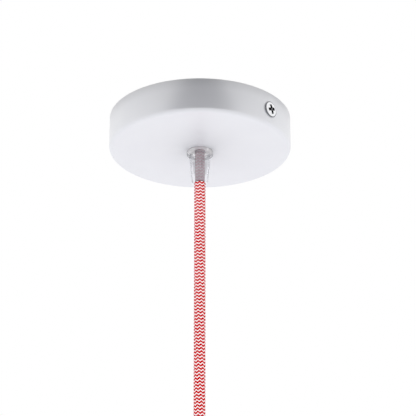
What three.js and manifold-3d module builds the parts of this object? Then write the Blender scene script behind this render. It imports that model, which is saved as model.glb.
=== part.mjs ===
// Pendant cord set: a round ceiling canopy, a clear cord grip, a textile cable and a lamp holder.
// Millimetres, +Z up. The origin is on the ceiling, at the middle of the bracket's top face.
// The canopy's two side screws lie on the X axis, and everything hangs below z = 0.

import * as THREE from 'three';
import { mergeVertices } from 'three/addons/utils/BufferGeometryUtils.js';
import Module from 'manifold-3d';

const wasm = await Module();
wasm.setup();

// Clearances
const FIT = 0.3;
const SEAT = 0.1;
const WELD = 1e-4;

// Canopy, a shallow pressed cup
const CANOPY_DIAMETER = 120;
const CANOPY_HEIGHT = 23.1;
const CANOPY_WALL = 1;
const CANOPY_EDGE_RADIUS = 2.8;

// Ceiling bracket, a flat strip with two tabs bent down
const BRACKET_WIDTH = 20;
const BRACKET_THICKNESS = 1.5;
const BRACKET_BEND_RADIUS = 1.2;
const BRACKET_TAB_DROP = 18;
const BRACKET_CORNER_RADIUS = 3;
const CEILING_SLOT_WIDTH = 4.6;
const CEILING_SLOT_LENGTH = 12;
const CEILING_SLOT_MARGIN = 6;

// Side screws, which hold the canopy to the bracket's tabs
const SIDE_SCREW_DROP = 11.8;
const SIDE_SCREW_DIAMETER = 4;
const SIDE_SCREW_LENGTH = 9;
const SIDE_SCREW_HEAD_DIAMETER = 10.7;
const SIDE_SCREW_HEAD_HEIGHT = 2.4;
const CROSS_RECESS_WIDTH = 5.6;
const CROSS_RECESS_DEPTH = 1.7;
const CROSS_RECESS_BLADE = 1.1;

// Cable, straight down from its jacket's end in the canopy to its jacket's end in the lamp holder
const CABLE_DIAMETER = 7.4;
const CABLE_ROUTE = [
  [0, 0, -13.2], [0, 0, -28], [0, 0, -44], [0, 0, -60], [0, 0, -76], [0, 0, -92], [0, 0, -108], [0, 0, -124],
  [0, 0, -140], [0, 0, -156], [0, 0, -172], [0, 0, -188], [0, 0, -204], [0, 0, -218], [0, 0, -230], [0, 0, -241],
];
const CORE_DIAMETER = 2.2;
const COPPER_DIAMETER = 1.1;
const CORE_LAY_RADIUS = 1.5;
const BARE_LENGTH = 5;

// Cord grip, a threaded stem with a flange and a slit collet, and the conical cap that squeezes it
const STEM_DIAMETER = 10;
const STEM_STANDOUT = 1.2;
const FLANGE_DIAMETER = 17.4;
const FLANGE_THICKNESS = 3;
const FLANGE_EDGE_RADIUS = 0.8;
const COLLET_LENGTH = 13.5;
const COLLET_TIP_WALL = 0.6;
const COLLET_SLIT = 1;
const COLLET_SLIT_LENGTH = 9;
const CAP_LENGTH = 19;
const CAP_WIDE_DIAMETER = 14;
const CAP_MOUTH_DIAMETER = 10.9;
const CAP_MOUTH_THICKNESS = 2.2;
const CAP_LIP_RADIUS = 0.6;
const NUT_ACROSS_FLATS = 14;
const NUT_THICKNESS = 3;
const WASHER_DIAMETER = 17;
const WASHER_THICKNESS = 0.8;
const WASHER_TOOTH_DEPTH = 1.6;
const WASHER_TEETH = 12;

// Terminal block under the bracket
const BLOCK_OFFSET = 14;
const BLOCK_LENGTH = 16;
const POLE_PITCH = 10.5;
const BLOCK_WALL = 0.9;
const BLOCK_WEB_THICKNESS = 2.5;
const CHIMNEY_DEPTH = 10.5;
const CLAMP_SPACING = 8.4;
const INSERT_DIAMETER = 4.8;
const INSERT_BORE = 3;
const INSERT_RECESS = 1.5;
const CLAMP_SCREW_DIAMETER = 2.5;
const CLAMP_HEAD_DIAMETER = 3.4;
const CLAMP_HEAD_HEIGHT = 1.6;
const BLOCK_SCREW_DIAMETER = 2.5;
const BLOCK_SCREW_HEAD_DIAMETER = 4.2;
const BLOCK_SCREW_HEAD_HEIGHT = 1.5;

// Earth lug, used on the bracket and in the lamp holder
const EARTH_OFFSET = 22;
const LUG_RING_DIAMETER = 7;
const LUG_THICKNESS = 0.8;
const LUG_BARREL_DIAMETER = 3.4;
const LUG_BARREL_WALL = 0.5;
const LUG_BARREL_LENGTH = 5.5;
const LUG_NECK = 4.6;
const EARTH_SCREW_DIAMETER = 3.5;
const EARTH_SCREW_HEAD_DIAMETER = 7;
const EARTH_SCREW_HEAD_HEIGHT = 2.2;

// Lamp holder sleeve, a plain pressed cup
const HOLDER_DIAMETER = 44;
const HOLDER_HEIGHT = 64;
const HOLDER_WALL = 1;
const HOLDER_EDGE_RADIUS = 2.8;
const JACKET_STANDOUT = 1.6;

// Stirrup that carries the porcelain socket
const STIRRUP_WIDTH = 11;
const STIRRUP_THICKNESS = 1.2;
const STIRRUP_BEND_RADIUS = 1.4;
const STIRRUP_HEIGHT = 24;
const STIRRUP_INSET = 4;
const STIRRUP_SCREW_DIAMETER = 3.5;
const STIRRUP_SCREW_LENGTH = 7.5;
const STIRRUP_SCREW_HEAD_DIAMETER = 6;
const STIRRUP_SCREW_HEAD_HEIGHT = 2;

// Porcelain socket body and its Edison screw shell
const SOCKET_SIDE_GAP = 1;
const SOCKET_HEIGHT = 36;
const SOCKET_FLOOR = 9;
const SOCKET_EDGE_RADIUS = 1.5;
const SOCKET_LIP_CHAMFER = 1.2;
const SHELL_INNER_DIAMETER = 24.7;
const THREAD_DEPTH = 0.9;
const THREAD_PITCH = 3.629;
const THREAD_TURNS = 5;
const SHELL_WALL = 0.4;
const SHELL_PLAIN_TOP = 3;
const SHELL_PLAIN_MOUTH = 1.6;
const SHELL_FLANGE_BORE = 16.4;

// Lamp holder contacts and terminals
const RIVET_DIAMETER = 2.4;
const RIVET_HEAD_DIAMETER = 3.6;
const RIVET_HEAD_HEIGHT = 0.8;
const RIVET_GRIP = 2;
const LIVE_RIVET_OFFSET = 4.6;
const CONTACT_WIDTH = 6;
const CONTACT_THICKNESS = 0.5;
const CONTACT_FOOT = 4.4;
const CONTACT_DROP = 4.2;
const TERMINAL_WIDTH = 8;
const TERMINAL_HEIGHT = 8;
const TERMINAL_WIRE_HEIGHT = 4.4;
const TERMINAL_CORNER_RADIUS = 0.8;

// Facets round each size of circle
const LARGE_ROUND = 56;
const MEDIUM_ROUND = 36;
const GRIP_ROUND = 20;
const SMALL_ROUND = 12;
const CORE_ROUND = 8;
const CABLE_ROUND = 12;
const CORE_STEPS = 8;
const THREAD_ROUND = 20;
const THREAD_ROWS_PER_TURN = 4;
const ARC_STEPS = 3;

// Radii and heights that follow from the sizes above
const canopyRadius = CANOPY_DIAMETER / 2;
const stemRadius = STEM_DIAMETER / 2;
const cableBore = CABLE_DIAMETER / 2 + FIT;
const stemHole = stemRadius + FIT;
const insertRadius = INSERT_DIAMETER / 2;
const barrelRadius = insertRadius + FIT + BLOCK_WALL;
const clampScrewHole = CLAMP_SCREW_DIAMETER / 2 + FIT;
const bracketHalfSpan = Math.sqrt((canopyRadius - CANOPY_WALL) ** 2 - (BRACKET_WIDTH / 2) ** 2) - FIT;
const blockMiddle = BLOCK_OFFSET + BLOCK_LENGTH / 2;
const stemInCanopy = CANOPY_WALL + SEAT + WASHER_THICKNESS + SEAT + NUT_THICKNESS + STEM_STANDOUT;
const stemInHolder = HOLDER_WALL + SEAT + STIRRUP_THICKNESS + SEAT + NUT_THICKNESS + STEM_STANDOUT;
const jacketTop = CABLE_ROUTE[0][2];
const jacketEnd = CABLE_ROUTE[CABLE_ROUTE.length - 1][2];
const holderTop = jacketEnd + stemInHolder + JACKET_STANDOUT;
const holderRadius = HOLDER_DIAMETER / 2;
const socketRadius = holderRadius - HOLDER_WALL - SOCKET_SIDE_GAP;
const stirrupTop = -HOLDER_WALL - SEAT;
const stirrupFeet = stirrupTop - STIRRUP_HEIGHT;
const stirrupHalfSpan = socketRadius - STIRRUP_INSET;
const stirrupScrewOffset = stirrupHalfSpan - STIRRUP_THICKNESS - STIRRUP_BEND_RADIUS - LUG_RING_DIAMETER / 2;
const socketTop = stirrupFeet - SEAT;
const shellOuterRadius = SHELL_INNER_DIAMETER / 2 + THREAD_DEPTH + SHELL_WALL;
const shellTop = socketTop - SOCKET_FLOOR - SEAT;
const shellRivetOffset = (SHELL_FLANGE_BORE / 2 + SHELL_INNER_DIAMETER / 2) / 2;
const liveTerminalMiddle = LUG_BARREL_DIAMETER / 2 + FIT + TERMINAL_WIDTH / 2;

// Materials

function finish(color, roughness, metalness = 0, opacity = 1) {
  const transparent = opacity < 1;
  return new THREE.MeshStandardMaterial({ color, roughness, metalness, opacity, transparent, flatShading: true });
}

const paint = () => finish(0xebebf0, 0.45);
const zincSteel = () => finish(0xb4b7bb, 0.38, 1);
const chrome = () => finish(0xd6d6d8, 0.12, 1);
const clearPlastic = () => finish(0xeef1f3, 0.12, 0, 0.45);
const braid = () => finish(0xd98a8f, 0.85);
const brass = () => finish(0xc9a24e, 0.3, 1);
const whitePlastic = () => finish(0xe9e9e4, 0.5);
const porcelain = () => finish(0xf2f1ec, 0.2);
const coreFinish = { live: () => finish(0x6b3f24, 0.5), neutral: () => finish(0x2457a8, 0.5), earth: () => finish(0x7fae2a, 0.5) };

// Closed solids from three.js geometry

function solidFrom(geometry) {
  geometry.deleteAttribute('normal');
  geometry.deleteAttribute('uv');
  const merged = mergeVertices(geometry, WELD);
  const position = merged.attributes.position;
  const [a, b, c] = [new THREE.Vector3(), new THREE.Vector3(), new THREE.Vector3()];
  const faces = [];
  let volume = 0;
  for (let i = 0; i < merged.index.count; i += 3) {
    const corners = [0, 1, 2].map((k) => merged.index.getX(i + k));
    if (new Set(corners).size === 3) {
      faces.push(corners);
      a.fromBufferAttribute(position, corners[0]);
      b.fromBufferAttribute(position, corners[1]);
      c.fromBufferAttribute(position, corners[2]);
      volume += a.dot(b.cross(c));
    }
  }
  const outward = volume < 0 ? faces.map(([p, q, r]) => [p, r, q]) : faces;
  const triVerts = Uint32Array.from(outward.flat());
  return new wasm.Manifold(new wasm.Mesh({ numProp: 3, vertProperties: position.array, triVerts }));
}

function place(geometry, [x, y, z] = [0, 0, 0], [turnX, turnY, turnZ] = [0, 0, 0]) {
  geometry.rotateX(turnX).rotateY(turnY).rotateZ(turnZ);
  return geometry.translate(x, y, z);
}

// A body turned about Z from [radius, height] points, which close on themselves or end on the axis
function turned(points, segments, at, turn) {
  const profile = points.map(([r, z]) => new THREE.Vector2(r, z));
  if (points[0][0] > 0) profile.push(profile[0].clone());
  const geometry = new THREE.LatheGeometry(profile, segments);
  geometry.rotateX(Math.PI / 2);
  return solidFrom(place(geometry, at, turn));
}

// A rod along Z, from its lower end up
function rod(radius, length, at, turn, segments = SMALL_ROUND) {
  return turned([[0, 0], [radius, 0], [radius, length], [0, length]], segments, at, turn);
}

// A flat outline pushed up along Z
function pushed(shape, depth, at, turn) {
  const geometry = new THREE.ExtrudeGeometry(shape, { depth, bevelEnabled: false, curveSegments: ARC_STEPS });
  return solidFrom(place(geometry, at, turn));
}

// An outline drawn in X and Z, pushed along Y with its middle on y = 0
function pushedAcross(shape, width) {
  return pushed(shape, width, [0, width / 2, 0], [Math.PI / 2, 0, 0]);
}

// Points of an arc about [r, z], from one angle to the other in degrees
function arc([r, z], radius, from, to, steps = ARC_STEPS) {
  return Array.from({ length: steps + 1 }, (_, i) => {
    const angle = THREE.MathUtils.degToRad(from + ((to - from) * i) / steps);
    return [r + radius * Math.cos(angle), z + radius * Math.sin(angle)];
  });
}

function roundedRectangle(width, height, radius) {
  const [x, y] = [width / 2, height / 2];
  const shape = new THREE.Shape();
  shape.moveTo(-x + radius, -y);
  shape.lineTo(x - radius, -y);
  shape.absarc(x - radius, -y + radius, radius, -Math.PI / 2, 0);
  shape.lineTo(x, y - radius);
  shape.absarc(x - radius, y - radius, radius, 0, Math.PI / 2);
  shape.lineTo(-x + radius, y);
  shape.absarc(-x + radius, y - radius, radius, Math.PI / 2, Math.PI);
  shape.lineTo(-x, -y + radius);
  shape.absarc(-x + radius, -y + radius, radius, Math.PI, 1.5 * Math.PI);
  return shape;
}

// The outline of a sheet strip seen from its edge, folded at each inner corner of its middle line
function foldedStrip(corners, thickness, innerRadius) {
  const bend = innerRadius + thickness / 2;
  const points = corners.map(([x, y]) => new THREE.Vector2(x, y));
  const line = [];
  const add = (point, normal) => line.push([point, normal]);
  const normalOf = (direction) => new THREE.Vector2(-direction.y, direction.x);
  const first = points[1].clone().sub(points[0]).normalize();
  add(points[0], normalOf(first));
  for (let i = 1; i < points.length - 1; i += 1) {
    const into = points[i].clone().sub(points[i - 1]).normalize();
    const out = points[i + 1].clone().sub(points[i]).normalize();
    const turn = Math.atan2(into.cross(out), into.dot(out));
    const reach = bend * Math.tan(Math.abs(turn) / 2);
    const start = points[i].clone().addScaledVector(into, -reach);
    const side = Math.sign(turn);
    const centre = start.clone().addScaledVector(normalOf(into), side * bend);
    for (let k = 0; k <= ARC_STEPS; k += 1) {
      const normal = normalOf(into).rotateAround(new THREE.Vector2(), (turn * k) / ARC_STEPS);
      add(centre.clone().addScaledVector(normal, -side * bend), normal);
    }
  }
  const last = points.at(-1).clone().sub(points.at(-2)).normalize();
  add(points.at(-1), normalOf(last));
  const left = line.map(([point, normal]) => point.clone().addScaledVector(normal, thickness / 2));
  const right = line.map(([point, normal]) => point.clone().addScaledVector(normal, -thickness / 2));
  return new THREE.Shape([...left, ...right.reverse()]);
}

// A round section swept along a smooth curve through the points
function swept(points, radius, sides, steps) {
  const curve = new THREE.CatmullRomCurve3(points.map((p) => new THREE.Vector3(...p)), false, 'centripetal');
  const section = new THREE.Shape();
  for (let k = 0; k < sides; k += 1) {
    const angle = (2 * Math.PI * k) / sides;
    const [x, y] = [radius * Math.cos(angle), radius * Math.sin(angle)];
    if (k === 0) section.moveTo(x, y);
    else section.lineTo(x, y);
  }
  return solidFrom(new THREE.ExtrudeGeometry(section, { steps, extrudePath: curve, bevelEnabled: false }));
}

function meshOf(name, solid, material) {
  const { numProp, vertProperties, triVerts } = solid.getMesh();
  const count = vertProperties.length / numProp;
  const position = new Float32Array(count * 3);
  for (let i = 0; i < count; i += 1) {
    for (let k = 0; k < 3; k += 1) position[3 * i + k] = vertProperties[numProp * i + k];
  }
  const geometry = new THREE.BufferGeometry();
  geometry.setAttribute('position', new THREE.BufferAttribute(position, 3));
  geometry.setIndex(new THREE.BufferAttribute(new Uint32Array(triVerts), 1));
  geometry.computeVertexNormals();
  const mesh = new THREE.Mesh(geometry, material);
  mesh.name = name;
  return mesh;
}

function groupOf(children, at = [0, 0, 0], turn = [0, 0, 0]) {
  const group = new THREE.Group();
  group.add(...children);
  group.position.set(...at);
  group.rotation.set(...turn);
  return group;
}

function placed(mesh, at, turn = [0, 0, 0]) {
  mesh.position.set(...at);
  mesh.rotation.set(...turn);
  return mesh;
}

// Screws, with the head's flat underside at z = 0, the head above it and the shank below

function driveBlade(width, depth, blade, top, turn) {
  const shape = new THREE.Shape();
  shape.moveTo(-width / 2, top + SEAT);
  shape.lineTo(-width / 4, top - depth);
  shape.lineTo(width / 4, top - depth);
  shape.lineTo(width / 2, top + SEAT);
  return pushed(shape, blade, [(Math.sin(turn) * blade) / 2, (Math.cos(turn) * blade) / 2, 0], [Math.PI / 2, 0, -turn]);
}

function domedCrossScrew() {
  const radius = SIDE_SCREW_HEAD_DIAMETER / 2;
  const height = SIDE_SCREW_HEAD_HEIGHT;
  const ball = (radius ** 2 + height ** 2) / (2 * height);
  const rise = THREE.MathUtils.radToDeg(Math.asin(radius / ball));
  const dome = arc([0, height - ball], ball, 90 - rise, 90, ARC_STEPS + 1).slice(0, -1);
  const shank = SIDE_SCREW_DIAMETER / 2;
  const length = SIDE_SCREW_LENGTH;
  const point = [[0, -length], [shank - FIT, -length], [shank, -length + FIT], [shank, 0]];
  const body = turned([...point, ...dome, [0, height]], GRIP_ROUND);
  const blades = [0, Math.PI / 2].map((turn) =>
    driveBlade(CROSS_RECESS_WIDTH, CROSS_RECESS_DEPTH, CROSS_RECESS_BLADE, height, turn));
  return blades.reduce((part, blade) => part.subtract(blade), body);
}

function slottedScrew(shank, length, headDiameter, headHeight) {
  const [r, head] = [shank / 2, headDiameter / 2];
  const round = headHeight / 3;
  const outline = [
    [0, -length], [r, -length], [r, 0], [head, 0], [head, headHeight - round], [head - round, headHeight], [0, headHeight],
  ];
  const slot = roundedRectangle(2 * headDiameter, headHeight / 2, 0.01);
  const cut = pushed(slot, headHeight, [0, 0, (2 * headHeight) / 3], [0, 0, 0]);
  return turned(outline, SMALL_ROUND).subtract(cut);
}

// Cord grip, with its seat at z = 0, the collet and cap below it and the threaded stem above

function gripBody(stemLength) {
  const flange = FLANGE_DIAMETER / 2;
  const edge = FLANGE_EDGE_RADIUS;
  const tip = -FLANGE_THICKNESS - COLLET_LENGTH;
  const taper = -FLANGE_THICKNESS - COLLET_LENGTH / 2;
  const profile = [
    [cableBore, tip],
    [cableBore, stemLength],
    [stemRadius, stemLength],
    [stemRadius, 0],
    [flange, 0],
    ...arc([flange - edge, -FLANGE_THICKNESS + edge], edge, 0, -90),
    [stemRadius, -FLANGE_THICKNESS],
    [stemRadius, taper],
    [cableBore + COLLET_TIP_WALL, tip],
  ];
  const body = turned(profile, GRIP_ROUND);
  const slit = roundedRectangle(STEM_DIAMETER + 2 * FIT, COLLET_SLIT, COLLET_SLIT / 4);
  const slits = [Math.PI / 4, -Math.PI / 4].map((turn) => pushed(slit, COLLET_SLIT_LENGTH, [0, 0, tip - SEAT], [0, 0, turn]));
  return slits.reduce((part, cut) => part.subtract(cut), body);
}

function gripCap() {
  const top = -FLANGE_THICKNESS - SEAT;
  const mouth = top - CAP_LENGTH;
  const [wide, narrow] = [CAP_WIDE_DIAMETER / 2, CAP_MOUTH_DIAMETER / 2];
  const straight = -FLANGE_THICKNESS - COLLET_LENGTH / 2;
  const tip = -FLANGE_THICKNESS - COLLET_LENGTH - FIT;
  const lip = CAP_LIP_RADIUS;
  const profile = [
    [wide, top],
    ...arc([narrow - lip, mouth + lip], lip, 0, -90),
    [cableBore, mouth],
    [cableBore, mouth + CAP_MOUTH_THICKNESS],
    [cableBore + COLLET_TIP_WALL + FIT, tip],
    [stemHole, straight],
    [stemHole, top],
  ];
  return turned(profile, GRIP_ROUND);
}

function gripPieces(prefix, stemLength) {
  return [
    meshOf(`${prefix}_body`, gripBody(stemLength), clearPlastic()),
    meshOf(`${prefix}_cap`, gripCap(), clearPlastic()),
  ];
}

function hexNut() {
  const corner = NUT_ACROSS_FLATS / 2 / Math.cos(Math.PI / 6);
  const shape = new THREE.Shape();
  for (let k = 0; k < 6; k += 1) {
    const angle = (Math.PI * k) / 3;
    const [x, y] = [corner * Math.cos(angle), corner * Math.sin(angle)];
    if (k === 0) shape.moveTo(x, y);
    else shape.lineTo(x, y);
  }
  const cut = (corner - NUT_ACROSS_FLATS / 2) / 2;
  const chamfer = turned([
    [0, 0], [NUT_ACROSS_FLATS / 2, 0], [corner, cut], [corner, NUT_THICKNESS - cut],
    [NUT_ACROSS_FLATS / 2, NUT_THICKNESS], [0, NUT_THICKNESS],
  ], GRIP_ROUND);
  const bore = rod(stemHole, NUT_THICKNESS + 2 * SEAT, [0, 0, -SEAT], [0, 0, 0], GRIP_ROUND);
  return pushed(shape, NUT_THICKNESS).intersect(chamfer).subtract(bore);
}

function toothedWasher() {
  const shape = new THREE.Shape();
  const outer = WASHER_DIAMETER / 2;
  const root = outer - WASHER_TOOTH_DEPTH;
  const step = (2 * Math.PI) / WASHER_TEETH;
  const tooth = [[root, 0], [outer, 0.1], [outer, 0.45], [root, 0.7]];
  for (let k = 0; k < WASHER_TEETH; k += 1) {
    for (const [radius, share] of tooth) {
      const angle = (k + share) * step;
      const [x, y] = [radius * Math.cos(angle), radius * Math.sin(angle)];
      if (k === 0 && share === 0) shape.moveTo(x, y);
      else shape.lineTo(x, y);
    }
  }
  const bore = rod(stemHole, WASHER_THICKNESS + 2 * SEAT, [0, 0, -SEAT], [0, 0, 0], GRIP_ROUND);
  return pushed(shape, WASHER_THICKNESS).subtract(bore);
}

// A pressed cup that hangs open side up or down: its closed end has the grip's hole

function pressedCup(radius, height, wall, edge, closedAt, openAt) {
  const side = Math.sign(openAt - closedAt);
  const inner = Math.max(edge - wall, 0.2);
  const outerArc = arc([radius - edge, edge], edge, -90, 0, ARC_STEPS + 1);
  const innerArc = arc([radius - wall - inner, wall + inner], inner, 0, -90);
  const profile = [[stemHole, 0], ...outerArc, [radius, height], [radius - wall, height], ...innerArc, [stemHole, wall]];
  return profile.map(([r, z]) => [r, closedAt + side * z]);
}

function canopyCup() {
  const profile = pressedCup(canopyRadius, CANOPY_HEIGHT, CANOPY_WALL, CANOPY_EDGE_RADIUS, -CANOPY_HEIGHT, 0);
  const hole = SIDE_SCREW_DIAMETER / 2 + FIT;
  const drill = rod(hole, CANOPY_DIAMETER + 2 * CANOPY_WALL, [-canopyRadius - CANOPY_WALL, 0, -SIDE_SCREW_DROP], [0, Math.PI / 2, 0]);
  return turned(profile, LARGE_ROUND).subtract(drill);
}

// Ceiling bracket

function ceilingSlot(x) {
  const shape = roundedRectangle(CEILING_SLOT_LENGTH, CEILING_SLOT_WIDTH, CEILING_SLOT_WIDTH / 2 - SEAT);
  return pushed(shape, 2 * BRACKET_THICKNESS, [x, 0, -1.5 * BRACKET_THICKNESS]);
}

function ceilingBracket() {
  const middle = BRACKET_THICKNESS / 2;
  const reach = bracketHalfSpan - middle;
  const line = [[-reach, -BRACKET_TAB_DROP], [-reach, -middle], [reach, -middle], [reach, -BRACKET_TAB_DROP]];
  const strip = pushedAcross(foldedStrip(line, BRACKET_THICKNESS, BRACKET_BEND_RADIUS), BRACKET_WIDTH);
  const corners = roundedRectangle(2 * BRACKET_TAB_DROP, BRACKET_WIDTH, BRACKET_CORNER_RADIUS);
  const envelope = pushed(corners, 2 * bracketHalfSpan, [-bracketHalfSpan, 0, 0], [0, Math.PI / 2, 0]);
  const slotX = bracketHalfSpan - CEILING_SLOT_MARGIN - BRACKET_BEND_RADIUS - CEILING_SLOT_LENGTH / 2;
  const through = 2 * BRACKET_THICKNESS;
  const cuts = [
    ceilingSlot(slotX),
    ceilingSlot(-slotX),
    rod(SIDE_SCREW_DIAMETER / 2 + FIT, CANOPY_DIAMETER, [-canopyRadius, 0, -SIDE_SCREW_DROP], [0, Math.PI / 2, 0]),
    rod(BLOCK_SCREW_DIAMETER / 2 + FIT, through, [blockMiddle, 0, -through / 1.5]),
    rod(EARTH_SCREW_DIAMETER / 2 + FIT, through, [-EARTH_OFFSET, 0, -through / 1.5]),
  ];
  return cuts.reduce((part, cut) => part.subtract(cut), strip.intersect(envelope));
}

// Two-pole terminal block, with its top face at z = 0 and its poles along X

const poleOffsets = [POLE_PITCH / 2, -POLE_PITCH / 2];
const clampOffsets = [-CLAMP_SPACING / 2, CLAMP_SPACING / 2];

function terminalBlock() {
  const half = BLOCK_LENGTH / 2;
  const web = roundedRectangle(BLOCK_LENGTH, POLE_PITCH + barrelRadius, BLOCK_WALL);
  const along = [0, Math.PI / 2, 0];
  const chimneyRadius = CLAMP_HEAD_DIAMETER / 2 + FIT + BLOCK_WALL;
  const joins = [];
  const cuts = [];
  for (const y of poleOffsets) {
    joins.push(rod(barrelRadius, BLOCK_LENGTH, [-half, y, -barrelRadius], along));
    cuts.push(rod(insertRadius + FIT, BLOCK_LENGTH + 2 * SEAT, [-half - SEAT, y, -barrelRadius], along));
    for (const x of clampOffsets) {
      joins.push(rod(chimneyRadius, CHIMNEY_DEPTH - barrelRadius, [x, y, -CHIMNEY_DEPTH]));
      cuts.push(rod(CLAMP_HEAD_DIAMETER / 2 + FIT, CHIMNEY_DEPTH - barrelRadius, [x, y, -CHIMNEY_DEPTH - SEAT]));
    }
  }
  const headRoom = BLOCK_SCREW_HEAD_DIAMETER / 2 + FIT;
  cuts.push(rod(BLOCK_SCREW_DIAMETER / 2 + FIT, 2 * BLOCK_WEB_THICKNESS, [0, 0, -1.5 * BLOCK_WEB_THICKNESS]));
  cuts.push(rod(headRoom, CHIMNEY_DEPTH, [0, 0, -BLOCK_WEB_THICKNESS - CHIMNEY_DEPTH]));
  const body = joins.reduce((part, join) => part.add(join), pushed(web, BLOCK_WEB_THICKNESS, [0, 0, -BLOCK_WEB_THICKNESS]));
  return cuts.reduce((part, cut) => part.subtract(cut), body);
}

function terminalInsert() {
  const length = BLOCK_LENGTH - 2 * INSERT_RECESS;
  const [outer, bore] = [insertRadius, INSERT_BORE / 2];
  const tube = turned([[bore, 0], [outer, 0], [outer, length], [bore, length]], SMALL_ROUND, [-length / 2, 0, 0], [0, Math.PI / 2, 0]);
  const drills = clampOffsets.map((x) => rod(clampScrewHole, 2 * insertRadius, [x, 0, -2 * insertRadius]));
  return drills.reduce((part, drill) => part.subtract(drill), tube);
}

function blockPieces() {
  const headSeat = -barrelRadius - insertRadius - SEAT;
  const tipGap = insertRadius + SEAT - COPPER_DIAMETER / 2 - FIT;
  const pieces = [meshOf('terminal_block', terminalBlock(), whitePlastic())];
  poleOffsets.forEach((y, pole) => {
    const insert = meshOf(`terminal_insert_${pole + 1}`, terminalInsert(), brass());
    pieces.push(placed(insert, [0, y, -barrelRadius]));
    clampOffsets.forEach((x, end) => {
      const screw = slottedScrew(CLAMP_SCREW_DIAMETER, tipGap, CLAMP_HEAD_DIAMETER, CLAMP_HEAD_HEIGHT);
      const mesh = meshOf(`clamp_screw_${2 * pole + end + 1}`, screw, zincSteel());
      pieces.push(placed(mesh, [x, y, headSeat], [Math.PI, 0, 0]));
    });
  });
  const reach = BLOCK_WEB_THICKNESS + BRACKET_THICKNESS;
  const screw = slottedScrew(BLOCK_SCREW_DIAMETER, reach, BLOCK_SCREW_HEAD_DIAMETER, BLOCK_SCREW_HEAD_HEIGHT);
  pieces.push(placed(meshOf('block_screw', screw, zincSteel()), [0, 0, -BLOCK_WEB_THICKNESS - SEAT], [Math.PI, 0, 0]));
  return pieces;
}

// Ring lug, its ring round the origin with the top face at z = 0, its barrel towards +X

function ringLug(screwDiameter) {
  const ring = LUG_RING_DIAMETER / 2;
  const plate = new THREE.Shape();
  const neck = LUG_BARREL_DIAMETER / 2;
  const open = Math.asin(neck / ring);
  plate.absarc(0, 0, ring, open, 2 * Math.PI - open);
  plate.lineTo(LUG_NECK + 1, -neck);
  plate.lineTo(LUG_NECK + 1, neck);
  const barrel = turned([
    [neck - LUG_BARREL_WALL, 0], [neck, 0], [neck, LUG_BARREL_LENGTH], [neck - LUG_BARREL_WALL, LUG_BARREL_LENGTH],
  ], SMALL_ROUND, [LUG_NECK, 0, -neck], [0, Math.PI / 2, 0]);
  const hole = rod(screwDiameter / 2 + FIT, 3 * LUG_THICKNESS, [0, 0, -2 * LUG_THICKNESS]);
  return pushed(plate, LUG_THICKNESS, [0, 0, -LUG_THICKNESS]).add(barrel).subtract(hole);
}

// An insulated core along the points, with bare copper on from its last point in the given direction

function coreSolid(points, direction) {
  const overlap = 0.6;
  const end = points.at(-1).map((value, k) => value - overlap * direction[k]);
  const turn = direction[0] ? [0, (Math.sign(direction[0]) * Math.PI) / 2, 0] : [0, 0, 0];
  const copper = rod(COPPER_DIAMETER / 2, BARE_LENGTH + overlap, end, turn, CORE_ROUND);
  return swept(points, CORE_DIAMETER / 2, CORE_ROUND, CORE_STEPS).add(copper);
}

// Cores in the canopy, from the jacket's top end to the terminal block and the earth lug

function upperCores() {
  const start = jacketTop + SEAT;
  const poleZ = -BRACKET_THICKNESS - SEAT - barrelRadius;
  const entry = BLOCK_OFFSET + INSERT_RECESS - FIT;
  const lugZ = -BRACKET_THICKNESS - SEAT - LUG_BARREL_DIAMETER / 2;
  const lugX = -EARTH_OFFSET + LUG_NECK + LUG_BARREL_LENGTH + FIT;
  const lay = CORE_LAY_RADIUS;
  const toPole = (side) => {
    const y = (side * POLE_PITCH) / 2;
    return [
      [0.5, side * lay, start], [0.6, side * lay * 1.05, start + 2.2], [2.4, y * 0.55, poleZ - 2.6],
      [6.5, y * 0.9, poleZ - 0.4], [10.5, y, poleZ], [entry, y, poleZ],
    ];
  };
  const toLug = [
    [-lay, 0, start], [-lay - 0.1, 0, start + 2.4], [-3.6, 0, start + 5.8], [-7.6, 0, lugZ - 0.7], [lugX, 0, lugZ],
  ];
  return [
    meshOf('upper_core_live', coreSolid(toPole(1), [1, 0, 0]), coreFinish.live()),
    meshOf('upper_core_neutral', coreSolid(toPole(-1), [1, 0, 0]), coreFinish.neutral()),
    meshOf('upper_core_earth', coreSolid(toLug, [-1, 0, 0]), coreFinish.earth()),
  ];
}

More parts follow.
